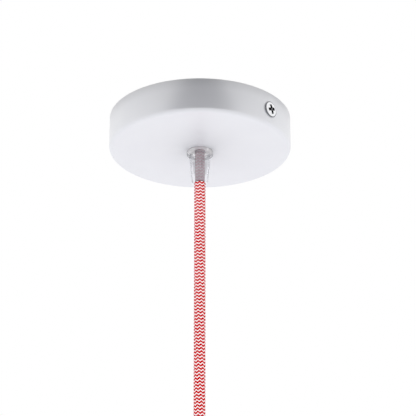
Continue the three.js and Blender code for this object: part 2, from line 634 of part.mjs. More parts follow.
function ceilingAssembly() {
  const screwSeat = canopyRadius + SEAT;
  const gripSeat = -CANOPY_HEIGHT - SEAT;
  const innerFloor = -CANOPY_HEIGHT + CANOPY_WALL;
  const underBracket = -BRACKET_THICKNESS - SEAT;
  const earthSeat = underBracket - LUG_THICKNESS - SEAT;
  const quarter = Math.PI / 2;
  const earthReach = -earthSeat - SEAT;
  const earthScrew = slottedScrew(EARTH_SCREW_DIAMETER, earthReach, EARTH_SCREW_HEAD_DIAMETER, EARTH_SCREW_HEAD_HEIGHT);
  return groupOf([
    meshOf('canopy_cup', canopyCup(), paint()),
    meshOf('ceiling_bracket', ceilingBracket(), zincSteel()),
    placed(meshOf('side_screw_right', domedCrossScrew(), chrome()), [screwSeat, 0, -SIDE_SCREW_DROP], [0, quarter, 0]),
    placed(meshOf('side_screw_left', domedCrossScrew(), chrome()), [-screwSeat, 0, -SIDE_SCREW_DROP], [0, -quarter, 0]),
    groupOf(gripPieces('grip', stemInCanopy + SEAT), [0, 0, gripSeat]),
    placed(meshOf('grip_washer', toothedWasher(), zincSteel()), [0, 0, innerFloor + SEAT]),
    placed(meshOf('grip_nut', hexNut(), zincSteel()), [0, 0, innerFloor + 2 * SEAT + WASHER_THICKNESS]),
    groupOf(blockPieces(), [blockMiddle, 0, underBracket]),
    placed(meshOf('earth_lug', ringLug(EARTH_SCREW_DIAMETER), brass()), [-EARTH_OFFSET, 0, underBracket]),
    placed(meshOf('earth_screw', earthScrew, brass()), [-EARTH_OFFSET, 0, earthSeat], [Math.PI, 0, 0]),
    ...upperCores(),
  ]);
}

// Lamp holder, with the sleeve's top face at z = 0

function holderSleeve() {
  return turned(pressedCup(holderRadius, HOLDER_HEIGHT, HOLDER_WALL, HOLDER_EDGE_RADIUS, 0, -HOLDER_HEIGHT), MEDIUM_ROUND);
}

function holderStirrup() {
  const middle = STIRRUP_THICKNESS / 2;
  const reach = stirrupHalfSpan - middle;
  const inner = stirrupScrewOffset - LUG_RING_DIAMETER / 2;
  const [top, foot] = [stirrupTop - middle, stirrupFeet + middle];
  const line = [[-inner, foot], [-reach, foot], [-reach, top], [reach, top], [reach, foot], [inner, foot]];
  const strip = pushedAcross(foldedStrip(line, STIRRUP_THICKNESS, STIRRUP_BEND_RADIUS), STIRRUP_WIDTH);
  const through = 2 * STIRRUP_THICKNESS;
  const cuts = [
    rod(stemHole, through, [0, 0, stirrupTop - 1.5 * STIRRUP_THICKNESS], [0, 0, 0], GRIP_ROUND),
    ...[1, -1].map((side) =>
      rod(STIRRUP_SCREW_DIAMETER / 2 + FIT, through, [side * stirrupScrewOffset, 0, stirrupFeet - STIRRUP_THICKNESS / 2])),
  ];
  return cuts.reduce((part, cut) => part.subtract(cut), strip);
}

function socketBody() {
  const bore = shellOuterRadius + FIT;
  const bottom = socketTop - SOCKET_HEIGHT;
  const floor = socketTop - SOCKET_FLOOR;
  const edge = SOCKET_EDGE_RADIUS;
  const chamfer = SOCKET_LIP_CHAMFER;
  const profile = [
    [0, socketTop],
    ...arc([socketRadius - edge, socketTop - edge], edge, 90, 0),
    ...arc([socketRadius - edge, bottom + edge], edge, 0, -90),
    [bore + chamfer, bottom],
    [bore, bottom + chamfer],
    [bore, floor],
    [0, floor],
  ];
  const deep = STIRRUP_SCREW_LENGTH - STIRRUP_THICKNESS - SEAT + FIT;
  const rivetHole = RIVET_DIAMETER / 2 + FIT;
  const cuts = [
    ...[1, -1].map((side) => rod(STIRRUP_SCREW_DIAMETER / 2 + FIT, deep + 1, [side * stirrupScrewOffset, 0, socketTop - deep])),
    rod(rivetHole, SOCKET_FLOOR + 2, [0, LIVE_RIVET_OFFSET, floor - 1]),
    rod(rivetHole, SOCKET_FLOOR + 2, [0, -shellRivetOffset, floor - 1]),
  ];
  return cuts.reduce((part, cut) => part.subtract(cut), turned(profile, MEDIUM_ROUND));
}

// Edison screw shell: a drawn sleeve whose wall follows a rounded right-hand thread, with a flange at its top

function threadSwing(depthBelowTop, angle) {
  const start = SHELL_PLAIN_TOP;
  const length = THREAD_TURNS * THREAD_PITCH;
  const along = depthBelowTop - start;
  if (along <= 0 || along >= length) return 0;
  const fade = Math.min(1, along / (THREAD_PITCH / 2), (length - along) / (THREAD_PITCH / 2));
  const phase = (2 * Math.PI * depthBelowTop) / THREAD_PITCH + angle;
  return (fade * THREAD_DEPTH * Math.cos(phase)) / 2;
}

function screwShell() {
  const mean = (SHELL_INNER_DIAMETER + THREAD_DEPTH) / 2;
  const length = SHELL_PLAIN_TOP + THREAD_TURNS * THREAD_PITCH + SHELL_PLAIN_MOUTH;
  const threadRows = THREAD_TURNS * THREAD_ROWS_PER_TURN;
  const depths = [SHELL_WALL];
  for (let i = 0; i <= threadRows; i += 1) depths.push(SHELL_PLAIN_TOP + (i * THREAD_PITCH) / THREAD_ROWS_PER_TURN);
  depths.push(length);
  const flangeBore = SHELL_FLANGE_BORE / 2;
  const wall = (offset) => (depth) => ({ depth, radius: (angle) => mean + offset + threadSwing(depth, angle) });
  const rows = [
    { depth: SHELL_WALL, radius: () => flangeBore },
    { depth: 0, radius: () => flangeBore },
    { depth: 0, radius: () => mean + SHELL_WALL },
    ...depths.slice(1).map(wall(SHELL_WALL)),
    ...depths.slice().reverse().map(wall(0)),
  ];
  const position = [];
  for (const { depth, radius } of rows) {
    for (let k = 0; k < THREAD_ROUND; k += 1) {
      const angle = (2 * Math.PI * k) / THREAD_ROUND;
      position.push(radius(angle) * Math.cos(angle), radius(angle) * Math.sin(angle), -depth);
    }
  }
  const index = [];
  for (let i = 0; i < rows.length; i += 1) {
    const [row, next] = [i * THREAD_ROUND, ((i + 1) % rows.length) * THREAD_ROUND];
    for (let k = 0; k < THREAD_ROUND; k += 1) {
      const turn = (k + 1) % THREAD_ROUND;
      index.push(row + k, next + k, next + turn, row + k, next + turn, row + turn);
    }
  }
  const geometry = new THREE.BufferGeometry();
  geometry.setAttribute('position', new THREE.Float32BufferAttribute(position, 3));
  geometry.setIndex(index);
  const rivet = rod(RIVET_DIAMETER / 2 + FIT, 4 * SHELL_WALL, [0, -shellRivetOffset, -2 * SHELL_WALL]);
  return solidFrom(geometry).subtract(rivet);
}

// Spring strip under the socket's floor: a riveted foot, a bend down and a tongue across the middle

function centreContact() {
  const middle = -CONTACT_THICKNESS / 2;
  const foot = LIVE_RIVET_OFFSET + CONTACT_FOOT / 2;
  const bend = LIVE_RIVET_OFFSET - CONTACT_FOOT / 2;
  const tip = -LIVE_RIVET_OFFSET;
  const line = [[foot, middle], [bend, middle], [0, -CONTACT_DROP], [tip, -CONTACT_DROP + 1.2]];
  const strip = pushedAcross(foldedStrip(line, CONTACT_THICKNESS, CONTACT_THICKNESS), CONTACT_WIDTH);
  return strip.subtract(rod(RIVET_DIAMETER / 2 + FIT, 3, [LIVE_RIVET_OFFSET, 0, -2]));
}

// Rivet with its head's upper face at z = 0 and its shank up through the socket's floor
function contactRivet(packed) {
  const [shank, head] = [RIVET_DIAMETER / 2, RIVET_HEAD_DIAMETER / 2];
  const length = packed + SEAT + SOCKET_FLOOR + SEAT + RIVET_GRIP;
  const round = RIVET_HEAD_HEIGHT / 2;
  return turned([
    [0, -RIVET_HEAD_HEIGHT], [head - round, -RIVET_HEAD_HEIGHT], [head, -round], [head, 0], [shank, 0], [shank, length], [0, length],
  ], SMALL_ROUND);
}

// Holder terminal, standing on z = 0 round its clamp screw's axis, with its rivet hole to one side of that
function holderTerminal(rivetShift) {
  const shape = roundedRectangle(TERMINAL_WIDTH, TERMINAL_WIDTH, TERMINAL_CORNER_RADIUS);
  const wire = rod(CORE_DIAMETER / 2 + FIT, TERMINAL_WIDTH + 2, [-TERMINAL_WIDTH / 2 - 1, 0, TERMINAL_WIRE_HEIGHT], [0, Math.PI / 2, 0]);
  const clamp = rod(clampScrewHole, TERMINAL_HEIGHT - TERMINAL_WIRE_HEIGHT + 1, [0, 0, TERMINAL_WIRE_HEIGHT]);
  const rivet = rod(RIVET_DIAMETER / 2 + FIT, RIVET_GRIP + FIT + 1, [0, rivetShift, -1]);
  return pushed(shape, TERMINAL_HEIGHT).subtract(wire).subtract(clamp).subtract(rivet);
}

function terminalPieces(name, y, rivetY, packed) {
  const base = socketTop + SEAT;
  const tip = TERMINAL_HEIGHT + SEAT - TERMINAL_WIRE_HEIGHT - COPPER_DIAMETER / 2 - FIT;
  const screw = slottedScrew(CLAMP_SCREW_DIAMETER, tip, CLAMP_HEAD_DIAMETER, CLAMP_HEAD_HEIGHT);
  const rivetSeat = shellTop - packed - SEAT;
  return [
    placed(meshOf(`${name}_terminal`, holderTerminal(rivetY - y), brass()), [0, y, base]),
    placed(meshOf(`${name}_terminal_screw`, screw, zincSteel()), [0, y, base + TERMINAL_HEIGHT + SEAT]),
    placed(meshOf(`${name}_rivet`, contactRivet(packed + SEAT), brass()), [0, rivetY, rivetSeat]),
  ];
}

// Cores in the lamp holder, from the jacket's lower end to the terminals and the earth lug

function lowerCores() {
  const start = jacketEnd - holderTop - SEAT;
  const wireZ = socketTop + SEAT + TERMINAL_WIRE_HEIGHT;
  const side = TERMINAL_WIDTH / 2 - FIT;
  const lay = CORE_LAY_RADIUS;
  const toTerminal = (x, y) => [
    [0.5 * x, Math.sign(y) * lay, start], [0.6 * x, Math.sign(y) * lay, start - 1.6], [5 * x, y * 0.7, start - 4.4],
    [9 * x, y, wireZ + 4.2], [9 * x, y, wireZ + 1.8], [7 * x, y, wireZ], [side * x, y, wireZ],
  ];
  const lugZ = stirrupFeet + STIRRUP_THICKNESS + SEAT + LUG_BARREL_DIAMETER / 2;
  const lugX = -stirrupScrewOffset + LUG_NECK + LUG_BARREL_LENGTH + FIT;
  const toLug = [
    [-lay, 0, start], [-lay, 0, start - 1.8], [0.4, -0.2, start - 5.6], [3.4, -0.4, lugZ + 5.2], [3.2, -0.2, lugZ + 1.6],
    [lugX + 2.2, 0, lugZ], [lugX, 0, lugZ],
  ];
  return [
    meshOf('lower_core_live', coreSolid(toTerminal(1, liveTerminalMiddle), [-1, 0, 0]), coreFinish.live()),
    meshOf('lower_core_neutral', coreSolid(toTerminal(1, -shellRivetOffset), [-1, 0, 0]), coreFinish.neutral()),
    meshOf('lower_core_earth', coreSolid(toLug, [-1, 0, 0]), coreFinish.earth()),
  ];
}

function lampHolder() {
  const screwLength = STIRRUP_SCREW_LENGTH;
  const footTop = stirrupFeet + STIRRUP_THICKNESS + SEAT;
  const stirrupScrew = (reach) =>
    slottedScrew(STIRRUP_SCREW_DIAMETER, reach, STIRRUP_SCREW_HEAD_DIAMETER, STIRRUP_SCREW_HEAD_HEIGHT);
  const lugRoom = LUG_THICKNESS + SEAT;
  const grip = groupOf(gripPieces('holder_grip', stemInHolder + SEAT), [0, 0, SEAT], [Math.PI, 0, 0]);
  return groupOf([
    grip,
    meshOf('holder_sleeve', holderSleeve(), paint()),
    meshOf('holder_stirrup', holderStirrup(), zincSteel()),
    placed(meshOf('holder_nut', hexNut(), zincSteel()), [0, 0, stirrupTop - STIRRUP_THICKNESS - SEAT], [Math.PI, 0, 0]),
    placed(meshOf('stirrup_screw_right', stirrupScrew(screwLength), zincSteel()), [stirrupScrewOffset, 0, footTop]),
    placed(meshOf('stirrup_screw_left', stirrupScrew(screwLength), zincSteel()), [-stirrupScrewOffset, 0, footTop + lugRoom]),
    placed(meshOf('holder_earth_lug', ringLug(STIRRUP_SCREW_DIAMETER), brass()), [-stirrupScrewOffset, 0, footTop], [Math.PI, 0, 0]),
    meshOf('socket_body', socketBody(), porcelain()),
    placed(meshOf('screw_shell', screwShell(), brass()), [0, 0, shellTop]),
    placed(meshOf('centre_contact', centreContact(), brass()), [0, 0, shellTop], [0, 0, Math.PI / 2]),
    ...terminalPieces('live', liveTerminalMiddle, LIVE_RIVET_OFFSET, CONTACT_THICKNESS),
    ...terminalPieces('neutral', -shellRivetOffset, -shellRivetOffset, SHELL_WALL),
    ...lowerCores(),
  ]);
}

function textileCable() {
  return meshOf('textile_cable', swept(CABLE_ROUTE, CABLE_DIAMETER / 2, CABLE_ROUND, CABLE_ROUTE.length - 1), braid());
}

const holder = lampHolder();
holder.position.z = holderTop;

const group = groupOf([ceilingAssembly(), textileCable(), holder]);

export default group;
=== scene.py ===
import math

import bmesh
import bpy
from mathutils import Matrix, Vector


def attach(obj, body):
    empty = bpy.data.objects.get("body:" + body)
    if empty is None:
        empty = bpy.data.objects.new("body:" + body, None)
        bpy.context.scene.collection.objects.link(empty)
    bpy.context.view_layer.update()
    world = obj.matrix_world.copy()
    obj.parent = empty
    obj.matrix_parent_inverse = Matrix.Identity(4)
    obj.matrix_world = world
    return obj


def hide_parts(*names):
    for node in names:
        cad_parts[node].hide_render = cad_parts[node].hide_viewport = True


# Looks of the pendant cord set. Every piece is drawn in millimetres, on the sizes of the part's source,
# and turned into metres when it is stood in its place.

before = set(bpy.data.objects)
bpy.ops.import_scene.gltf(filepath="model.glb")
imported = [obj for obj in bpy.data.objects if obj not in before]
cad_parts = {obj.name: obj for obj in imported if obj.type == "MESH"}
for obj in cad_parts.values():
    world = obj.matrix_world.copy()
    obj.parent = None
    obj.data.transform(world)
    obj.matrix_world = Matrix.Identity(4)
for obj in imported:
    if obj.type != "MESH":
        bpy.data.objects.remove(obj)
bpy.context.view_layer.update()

MM = 0.001
TAU = 2 * math.pi

# Camera, from a fit to the canopy's outline: it stands below the canopy and looks up
CAMERA_PLACE = (0.70908, -0.81914, -0.53856)
CAMERA_PITCH = 23.66
CAMERA_TURN = 40.6
CAMERA_LENS = 157.05

# Clearances, between a shaft and its hole and between two faces that lie on each other
FIT = 0.3
SEAT = 0.1

# The two cups, and the levels that pieces share
CANOPY_RADIUS = 60.0
CANOPY_HEIGHT = 23.1
CANOPY_FLOOR = -CANOPY_HEIGHT
GRIP_SEAT = CANOPY_FLOOR - SEAT
SIDE_SCREW_LEVEL = -11.8
UNDER_BRACKET = -1.6
HOLDER_RADIUS = 22.0
HOLDER_HEIGHT = 64.0
HOLDER_TOP = -232.8
STIRRUP_FOOT_TOP = HOLDER_TOP - 23.8
SOCKET_TOP = HOLDER_TOP - 25.2
SHELL_TOP = HOLDER_TOP - 34.3

# Places along X or Y that pieces share
BLOCK_PLACE = 22
EARTH_PLACE = -22
POLE_PLACE = 5.25
STIRRUP_SCREW_PLACE = 9.9
LIVE_PLACE = 6.0
LIVE_RIVET_PLACE = 4.6
NEUTRAL_PLACE = -10.275

# How far a pole's middle is under the bracket, a wire is above its terminal's foot,
# and a core is from the cable's axis
POLE_DEPTH = 3.6
WIRE_LIFT = 4.4
CORE_LAY = 1.5

SOCKET_FLOOR = 9.0
RIVET_EMBED = 2
RIVET_HOLE = 1.5

# Ring lugs: half the width of the neck, where the barrel starts, and the barrel's length
LUG_NECK = 1.7
LUG_START = 4.6
LUG_LENGTH = 5.5
LUG_REACH = LUG_START + LUG_LENGTH + FIT

# Cable, straight down from its jacket's end in the canopy to its jacket's end in the lamp holder
ROUTE_HEIGHTS = (
    -13.2, -28, -44, -60, -76, -92, -108, -124, -140, -156, -172, -188, -204, -218, -230, -241,
)
CABLE_RADIUS = 3.7
SQUEEZED_RADIUS = 3.15
UPPER_MOUTH = -45.4
LOWER_MOUTH = -210.5
JACKET_TOP = ROUTE_HEIGHTS[0]
JACKET_END = ROUTE_HEIGHTS[-1]

# Each grip squeezes the cable from inside its stem to its cap's mouth
SQUEEZES = ((-19.0, UPPER_MOUTH), (-236.9, LOWER_MOUTH))
SWELL_AT_MOUTH = 0.6
SWELL_IN_STEM = 3.0

# Braid: red and white stitches in columns that lean left and right in turn
BRAID_COLUMNS = 16
BRAID_REPEAT = 2.2034
BRAID_RISE = 1.2
BRAID_TWIST = 1.3575
BRAID_TURN = -0.052
BRAID_SHIFT = -0.925
RED_SHARE = 0.64
STITCH_ROWS = 4
COLUMN_STEPS = 6
STITCH_RELIEF = 0.05

STEM_RADIUS = 5.0
STEM_PITCH = 1.0
STEM_HOLE = STEM_RADIUS + FIT
CABLE_BORE = CABLE_RADIUS + FIT

# Screws: a thread's radius and pitch, and the radius of the hole that clears it
SMALL_THREAD = (1.25, 0.45)
SMALL_HOLE = 1.55
LARGE_THREAD = (1.75, 0.6)
LARGE_HOLE = 2.05
CROSS_THREAD = (2.0, 0.7)
CROSS_HOLE = 2.3
RECESS_TURN = 20


# Shader values, joined by Python's operators

class Value:
    def __init__(self, tree, socket):
        self.tree = tree
        self.socket = socket

    def math(self, operation, *others, clamp=False):
        settings = {"operation": operation, "use_clamp": clamp}
        return self.tree.node("ShaderNodeMath", settings, dict(enumerate((self, *others))))

    def __add__(self, other):
        return self.math("ADD", other)

    __radd__ = __add__

    def __mul__(self, other):
        return self.math("MULTIPLY", other)

    __rmul__ = __mul__

    def __sub__(self, other):
        return self.math("SUBTRACT", other)

    def __rsub__(self, other):
        return self * -1.0 + other

    def __truediv__(self, other):
        return self.math("DIVIDE", other)

    def __pow__(self, other):
        return self.math("POWER", other)

    def __abs__(self):
        return self.math("ABSOLUTE")

    def fraction(self):
        return self.math("FRACT")

    def clamped(self):
        return self.math("ADD", 0.0, clamp=True)

    def step_up(self, start, end):
        """0 below start and 1 above end, smooth between them."""
        return self.tree.node(
            "ShaderNodeMapRange", {"interpolation_type": "SMOOTHSTEP"},
            {"Value": self, "From Min": start, "From Max": end},
        )


class Tree:
    """The nodes of one material, or of the world."""

    def __init__(self, owner):
        owner.use_nodes = True
        self.nodes = owner.node_tree.nodes
        self.links = owner.node_tree.links

    def node(self, kind, settings=None, inputs=None, output=0):
        made = self.nodes.new(kind)
        for key, setting in (settings or {}).items():
            setattr(made, key, setting)
        for key, given in (inputs or {}).items():
            self.put(made.inputs[key], given)
        return Value(self, made.outputs[output])

    def put(self, socket, given):
        if isinstance(given, Value):
            self.links.new(given.socket, socket)
        elif isinstance(given, tuple) and len(given) == 3 and len(socket.default_value) == 4:
            socket.default_value = (*given, 1.0)
        else:
            socket.default_value = given

    def place(self):
        """Where a point is, in millimetres."""
        where = self.node("ShaderNodeTexCoord", output="Object")
        return self.node("ShaderNodeVectorMath", {"operation": "SCALE"}, {0: where, "Scale": 1 / MM})

    def split(self, vector):
        parts = self.node("ShaderNodeSeparateXYZ", None, {0: vector}).socket.node.outputs
        return [Value(self, part) for part in parts]

    def stretched(self, vector, *factors):
        return self.node("ShaderNodeVectorMath", {"operation": "MULTIPLY"}, {0: vector, 1: factors})

    def noise(self, vector, scale, detail=2.0):
        return self.node("ShaderNodeTexNoise", None, {"Vector": vector, "Scale": scale, "Detail": detail})

    def mixed(self, amount, first, second):
        """One colour that turns into another as amount goes from 0 to 1."""
        return self.node("ShaderNodeMix", {"data_type": "RGBA"}, {0: amount, 6: first, 7: second}, output=2)

    def bump(self, height, strength, depth):
        """The normal of a surface that height raises, up to a depth in millimetres."""
        return self.node(
            "ShaderNodeBump", None, {"Height": height, "Strength": strength, "Distance": depth * MM},
        )

    def seen_directly(self):
        """1 for rays from the camera and for mirrored and refracted rays, which show the white studio."""
        outputs = self.node("ShaderNodeLightPath").socket.node.outputs
        camera, glossy, through = (
            Value(self, outputs[name]) for name in ("Is Camera Ray", "Is Glossy Ray", "Is Transmission Ray"))
        return (camera + glossy + through).clamped()


class Finish(Tree):
    """A material, with the sockets of its shader set by name."""

    def __init__(self, name, **sockets):
        self.material = bpy.data.materials.new(name)
        super().__init__(self.material)
        self.shader = self.nodes["Principled BSDF"]
        self.set(**sockets)

    def set(self, **sockets):
        for key, given in sockets.items():
            self.put(self.shader.inputs[key.replace("_", " ").title().replace("Ior", "IOR")], given)


def rgb(red, green, blue):
    """The shader's values of a colour as a display shows it, from 0 to 255."""
    values = [c / 255 for c in (red, green, blue)]
    return tuple(c / 12.92 if c <= 0.04045 else ((c + 0.055) / 1.055) ** 2.4 for c in values)


def powder_coat():
    coat = Finish("powder_coat", coat_roughness=0.38, coat_ior=2.9, ior=1.5)
    here = coat.place()
    height = coat.split(here)[2]
    peel = coat.noise(here, 1.1, 3.0)
    speck = coat.noise(here, 4.5)
    cloud = coat.noise(here, 0.05)
    # Painted shade: the base colour turns darker grey towards the top rim, as the wall would be shaded under
    # a ceiling.
    painted_shade_near_ceiling = height.step_up(-8.0, 1.0)
    white = coat.mixed(cloud, rgb(230, 231, 238), rgb(235, 236, 242))
    coat.set(
        base_color=coat.mixed(painted_shade_near_ceiling, white, rgb(212, 213, 219)),
        roughness=0.45 + 0.10 * speck,
        coat_weight=0.3 + 0.7 * height.step_up(CANOPY_FLOOR + 0.3, CANOPY_FLOOR + 2.4),
        normal=coat.bump(peel * 0.7 + speck * 0.3, 0.3, 0.04),
    )
    return coat.material


def bright_chrome():
    chrome = Finish("bright_chrome", metallic=1.0)
    here = chrome.place()
    smear = chrome.noise(here, 0.8, 3.0)
    hair = chrome.noise(chrome.stretched(here, 1.0, 14.0, 14.0), 1.2)
    y, z = chrome.split(here)[1:]
    # Near the head's rim the chrome is painted dark grey: a painted shadow line round the head.
    from_axis = (y * y + (z - SIDE_SCREW_LEVEL) ** 2.0) ** 0.5
    bright = chrome.mixed(smear, rgb(232, 233, 236), rgb(246, 246, 248))
    chrome.set(
        base_color=chrome.mixed(from_axis.step_up(4.6, 5.1), bright, rgb(112, 113, 118)),
        roughness=0.05 + 0.06 * smear,
        normal=chrome.bump(hair, 0.1, 0.02),
    )
    return chrome.material


def painted_recess_shade():
    """Painted shade in a screw's recess: dark grey metal on the faces that the recess cuts."""
    dull = Finish("painted_recess_shade", metallic=1.0)
    here = dull.place()
    grain = dull.noise(here, 3.0)
    dull.set(base_color=dull.mixed(grain, rgb(34, 34, 36), rgb(58, 58, 60)), roughness=0.4 + 0.2 * grain)
    return dull.material


def clear_plastic(name, body, edge, start=0.1):
    """Clear plastic. Body is how much of it shows face on, edge how much more along its outline,
    and start how far a surface has turned away where its outline begins."""
    clear = Finish(name, ior=1.2, transmission_weight=1.0)
    here = clear.place()
    flow = clear.noise(clear.stretched(here, 1.0, 1.0, 0.35), 0.6)
    turned_away = clear.node("ShaderNodeLayerWeight", None, {"Blend": 0.5}, output="Facing")
    outline = turned_away.step_up(start, 0.75)
    # The colour turns grey along the outline: painted shade for the darker edges of the clear plastic.
    clear.set(
        base_color=clear.mixed(outline, rgb(250, 250, 252), rgb(112, 112, 118)),
        roughness=0.04 + 0.06 * flow,
        alpha=body + edge * outline,
        normal=clear.bump(flow, 0.05, 0.04),
    )
    return clear.material


def milky_plastic():
    """The same plastic where it is rough: on the stem's thread and on the face against the paint."""
    milky = Finish("milky_plastic", transmission_weight=0.5)
    grain = milky.noise(milky.place(), 2.0)
    milky.set(
        base_color=milky.mixed(grain, rgb(234, 233, 238), rgb(242, 241, 245)),
        roughness=0.5 + 0.1 * grain,
    )
    return milky.material


def yarn(name, dull, bright, grip_shade_at_mouth, grip_shade_further_in):
    """Textile yarn of fine filaments that run along the cable. Inside each grip its colour is painted shade:
    one grey at the cap's mouth and another further in, with a painted shadow band at the mouth."""
    thread = Finish(name, specular_ior_level=0.0)
    here = thread.place()
    filament = thread.noise(thread.stretched(here, 1.0, 1.0, 0.25), 9.0)
    lot = thread.noise(here, 0.9)
    free = thread.mixed((filament * 0.6 + lot * 0.4).clamped(), dull, bright)
    height = thread.split(here)[2]
    past_mouth = abs(height - (UPPER_MOUTH + LOWER_MOUTH) / 2) - (UPPER_MOUTH - LOWER_MOUTH) / 2
    in_grip = past_mouth.step_up(-0.3, 0.1)
    # rim_shade is a painted shadow band on the cable at each cap's mouth.
    rim_shade = past_mouth.step_up(-0.9, -0.5) - past_mouth.step_up(-0.2, 0.1)
    # Inside the grips the yarn is painted grey: painted shade, darker at the mouth and lighter further in.
    painted_grip_shade = thread.mixed(past_mouth.step_up(3.0, 10.0), grip_shade_at_mouth, grip_shade_further_in)
    laid = thread.mixed(in_grip, free, painted_grip_shade)
    thread.set(
        base_color=thread.mixed(rim_shade, laid, rgb(52, 20, 32)),
        roughness=0.75 + 0.15 * filament,
        normal=thread.bump(filament, 0.1, 0.02),
    )
    return thread.material


def cut_sheath():
    sheath = Finish("cut_sheath")
    grain = sheath.noise(sheath.place(), 2.0)
    sheath.set(
        base_color=sheath.mixed(grain, rgb(196, 196, 194), rgb(224, 224, 220)),
        roughness=0.5 + 0.2 * grain,
    )
    return sheath.material


def zinc_plate():
    zinc = Finish("zinc_plate", metallic=1.0)
    here = zinc.place()
    cloud = zinc.noise(here, 0.35, 3.0)
    rolled = zinc.noise(zinc.stretched(here, 0.4, 9.0, 9.0), 1.0, 3.0)
    zinc.set(
        base_color=zinc.mixed(cloud, rgb(176, 179, 185), rgb(206, 207, 209)),
        roughness=0.26 + 0.16 * rolled,
        normal=zinc.bump(rolled, 0.15, 0.03),
    )
    return zinc.material


def plain_brass():
    brass = Finish("plain_brass", metallic=1.0)
    here = brass.place()
    tarnish = brass.noise(here, 0.5, 4.0)
    fine = brass.noise(here, 6.0)
    brass.set(
        base_color=brass.mixed(tarnish, rgb(216, 178, 106), rgb(188, 146, 78)),
        roughness=0.20 + 0.16 * tarnish,
        normal=brass.bump(fine, 0.1, 0.02),
    )
    return brass.material


def moulded_plastic():
    plastic = Finish("moulded_plastic")
    here = plastic.place()
    grain = plastic.noise(here, 3.0)
    cloud = plastic.noise(here, 0.2)
    plastic.set(
        base_color=plastic.mixed(cloud, rgb(224, 223, 216), rgb(236, 235, 229)),
        roughness=0.40 + 0.14 * grain,
        normal=plastic.bump(grain, 0.2, 0.04),
    )
    return plastic.material


def white_glaze():
    glaze = Finish("white_glaze", coat_weight=0.8, coat_roughness=0.06)
    here = glaze.place()
    wave = glaze.noise(here, 0.25)
    speck = glaze.noise(here, 2.6, 1.0).step_up(0.70, 0.74)
    glaze.set(
        base_color=glaze.mixed(speck, rgb(236, 234, 227), rgb(202, 196, 184)),
        roughness=0.22 + 0.08 * wave,
        normal=glaze.bump(wave, 0.3, 0.1),
    )
    return glaze.material


def insulation(name, colour, stripe=None):
    cover = Finish(name)
    here = cover.place()
    x, y, z = cover.split(here)
    grain = cover.noise(here, 2.0)
    paint = cover.mixed(grain, tuple(0.82 * c for c in colour), colour)
    if stripe:
        along = ((x + y * 0.6 + z * 0.8) / 4.2).fraction()
        paint = cover.mixed(abs(along - 0.5).step_up(0.31, 0.33), paint, stripe)
    cover.set(base_color=paint, roughness=0.36 + 0.14 * grain, normal=cover.bump(grain, 0.15, 0.03))
    return cover.material


def bare_copper():
    copper = Finish("bare_copper", metallic=1.0)
    tarnish = copper.noise(copper.place(), 1.2, 3.0)
    copper.set(
        base_color=copper.mixed(tarnish, rgb(222, 142, 104), rgb(190, 106, 74)),
        roughness=0.24 + 0.14 * tarnish,
    )
    return copper.material


paint = powder_coat()
chrome = bright_chrome()
# Painted shade for the inside of the screws' recesses.
recess_shade = painted_recess_shade()
cap_plastic = clear_plastic("clear_cap", 0.03, 0.48, 0.3)
flange_plastic = clear_plastic("clear_flange", 0.1, 0.36)
inner_plastic = clear_plastic("clear_inside", 0.01, 0.0)
rough_plastic = milky_plastic()
# Each yarn's two greys for the inside of the grips are painted shade.
red_yarn = yarn(
    "red_yarn", rgb(186, 2, 10), rgb(208, 8, 22), grip_shade_at_mouth=rgb(168, 148, 156), grip_shade_further_in=rgb(191, 170, 178),
)
white_yarn = yarn(
    "white_yarn", rgb(244, 244, 245), rgb(253, 253, 253), grip_shade_at_mouth=rgb(173, 173, 176), grip_shade_further_in=rgb(199, 199, 202),
)
sheath = cut_sheath()
zinc = zinc_plate()
brass = plain_brass()
block_plastic = moulded_plastic()
glaze = white_glaze()
copper = bare_copper()
core_covers = {
    "live": ("core_brown", insulation("brown_cover", rgb(104, 60, 34))),
    "neutral": ("core_blue", insulation("blue_cover", rgb(36, 84, 170))),
    "earth": ("core_green_yellow", insulation("green_yellow_cover", rgb(44, 138, 60), rgb(232, 206, 52))),
}


# Shapes, in millimetres

def mesh_object(name, points, faces):
    mesh = bpy.data.meshes.new(name)
    mesh.from_pydata([tuple(p) for p in points], [], faces)
    piece = bpy.data.objects.new(name, mesh)
    bpy.context.collection.objects.link(piece)
    return piece


def solid(name, points, faces):
    """A mesh object with its faces turned outwards."""
    piece = mesh_object(name, points, faces)
    work = bmesh.new()
    work.from_mesh(piece.data)
    bmesh.ops.remove_doubles(work, verts=work.verts, dist=1e-5)
    bmesh.ops.recalc_face_normals(work, faces=work.faces)
    work.to_mesh(piece.data)
    work.free()
    return piece


def reach_at(radius, angle):
    """A radius, or what a function gives for it at an angle."""
    return radius(angle) if callable(radius) else radius


def rings_to_faces(rings, closed):
    """Rings of points joined in order: the last to the first if closed, or else capped at both ends."""
    count = len(rings[0])
    faces = []
    for i in range(len(rings) if closed else len(rings) - 1):
        low, high = i * count, ((i + 1) % len(rings)) * count
        for k in range(count):
            step = (k + 1) % count
            faces.append((low + k, low + step, high + step, high + k))
    if not closed:
        last = (len(rings) - 1) * count
        faces.append(tuple(range(count - 1, -1, -1)))
        faces.append(tuple(range(last, last + count)))
    return [point for ring in rings for point in ring], faces


def turned(name, rows, segments=96, closed=False):
    """A body turned about Z. Each row is a radius, or a function that gives it at an angle, and a height."""
    angles = [TAU * k / segments for k in range(segments)]
    rings = []
    for radius, z in rows:
        reaches = [reach_at(radius, a) for a in angles]
        rings.append([(r * math.cos(a), r * math.sin(a), z) for r, a in zip(reaches, angles)])
    return solid(name, *rings_to_faces(rings, closed))


def arc(centre, radius, start, end, steps=8):
    """Points of an arc, from one angle to the other in degrees."""
    angles = [math.radians(start + (end - start) * k / steps) for k in range(steps + 1)]
    return [(centre[0] + radius * math.cos(a), centre[1] + radius * math.sin(a)) for a in angles]


def pushed(name, outline, depth):
    """A flat outline pushed up along Z."""
    return solid(name, *rings_to_faces([[(x, y, z) for x, y in outline] for z in (0.0, depth)], False))


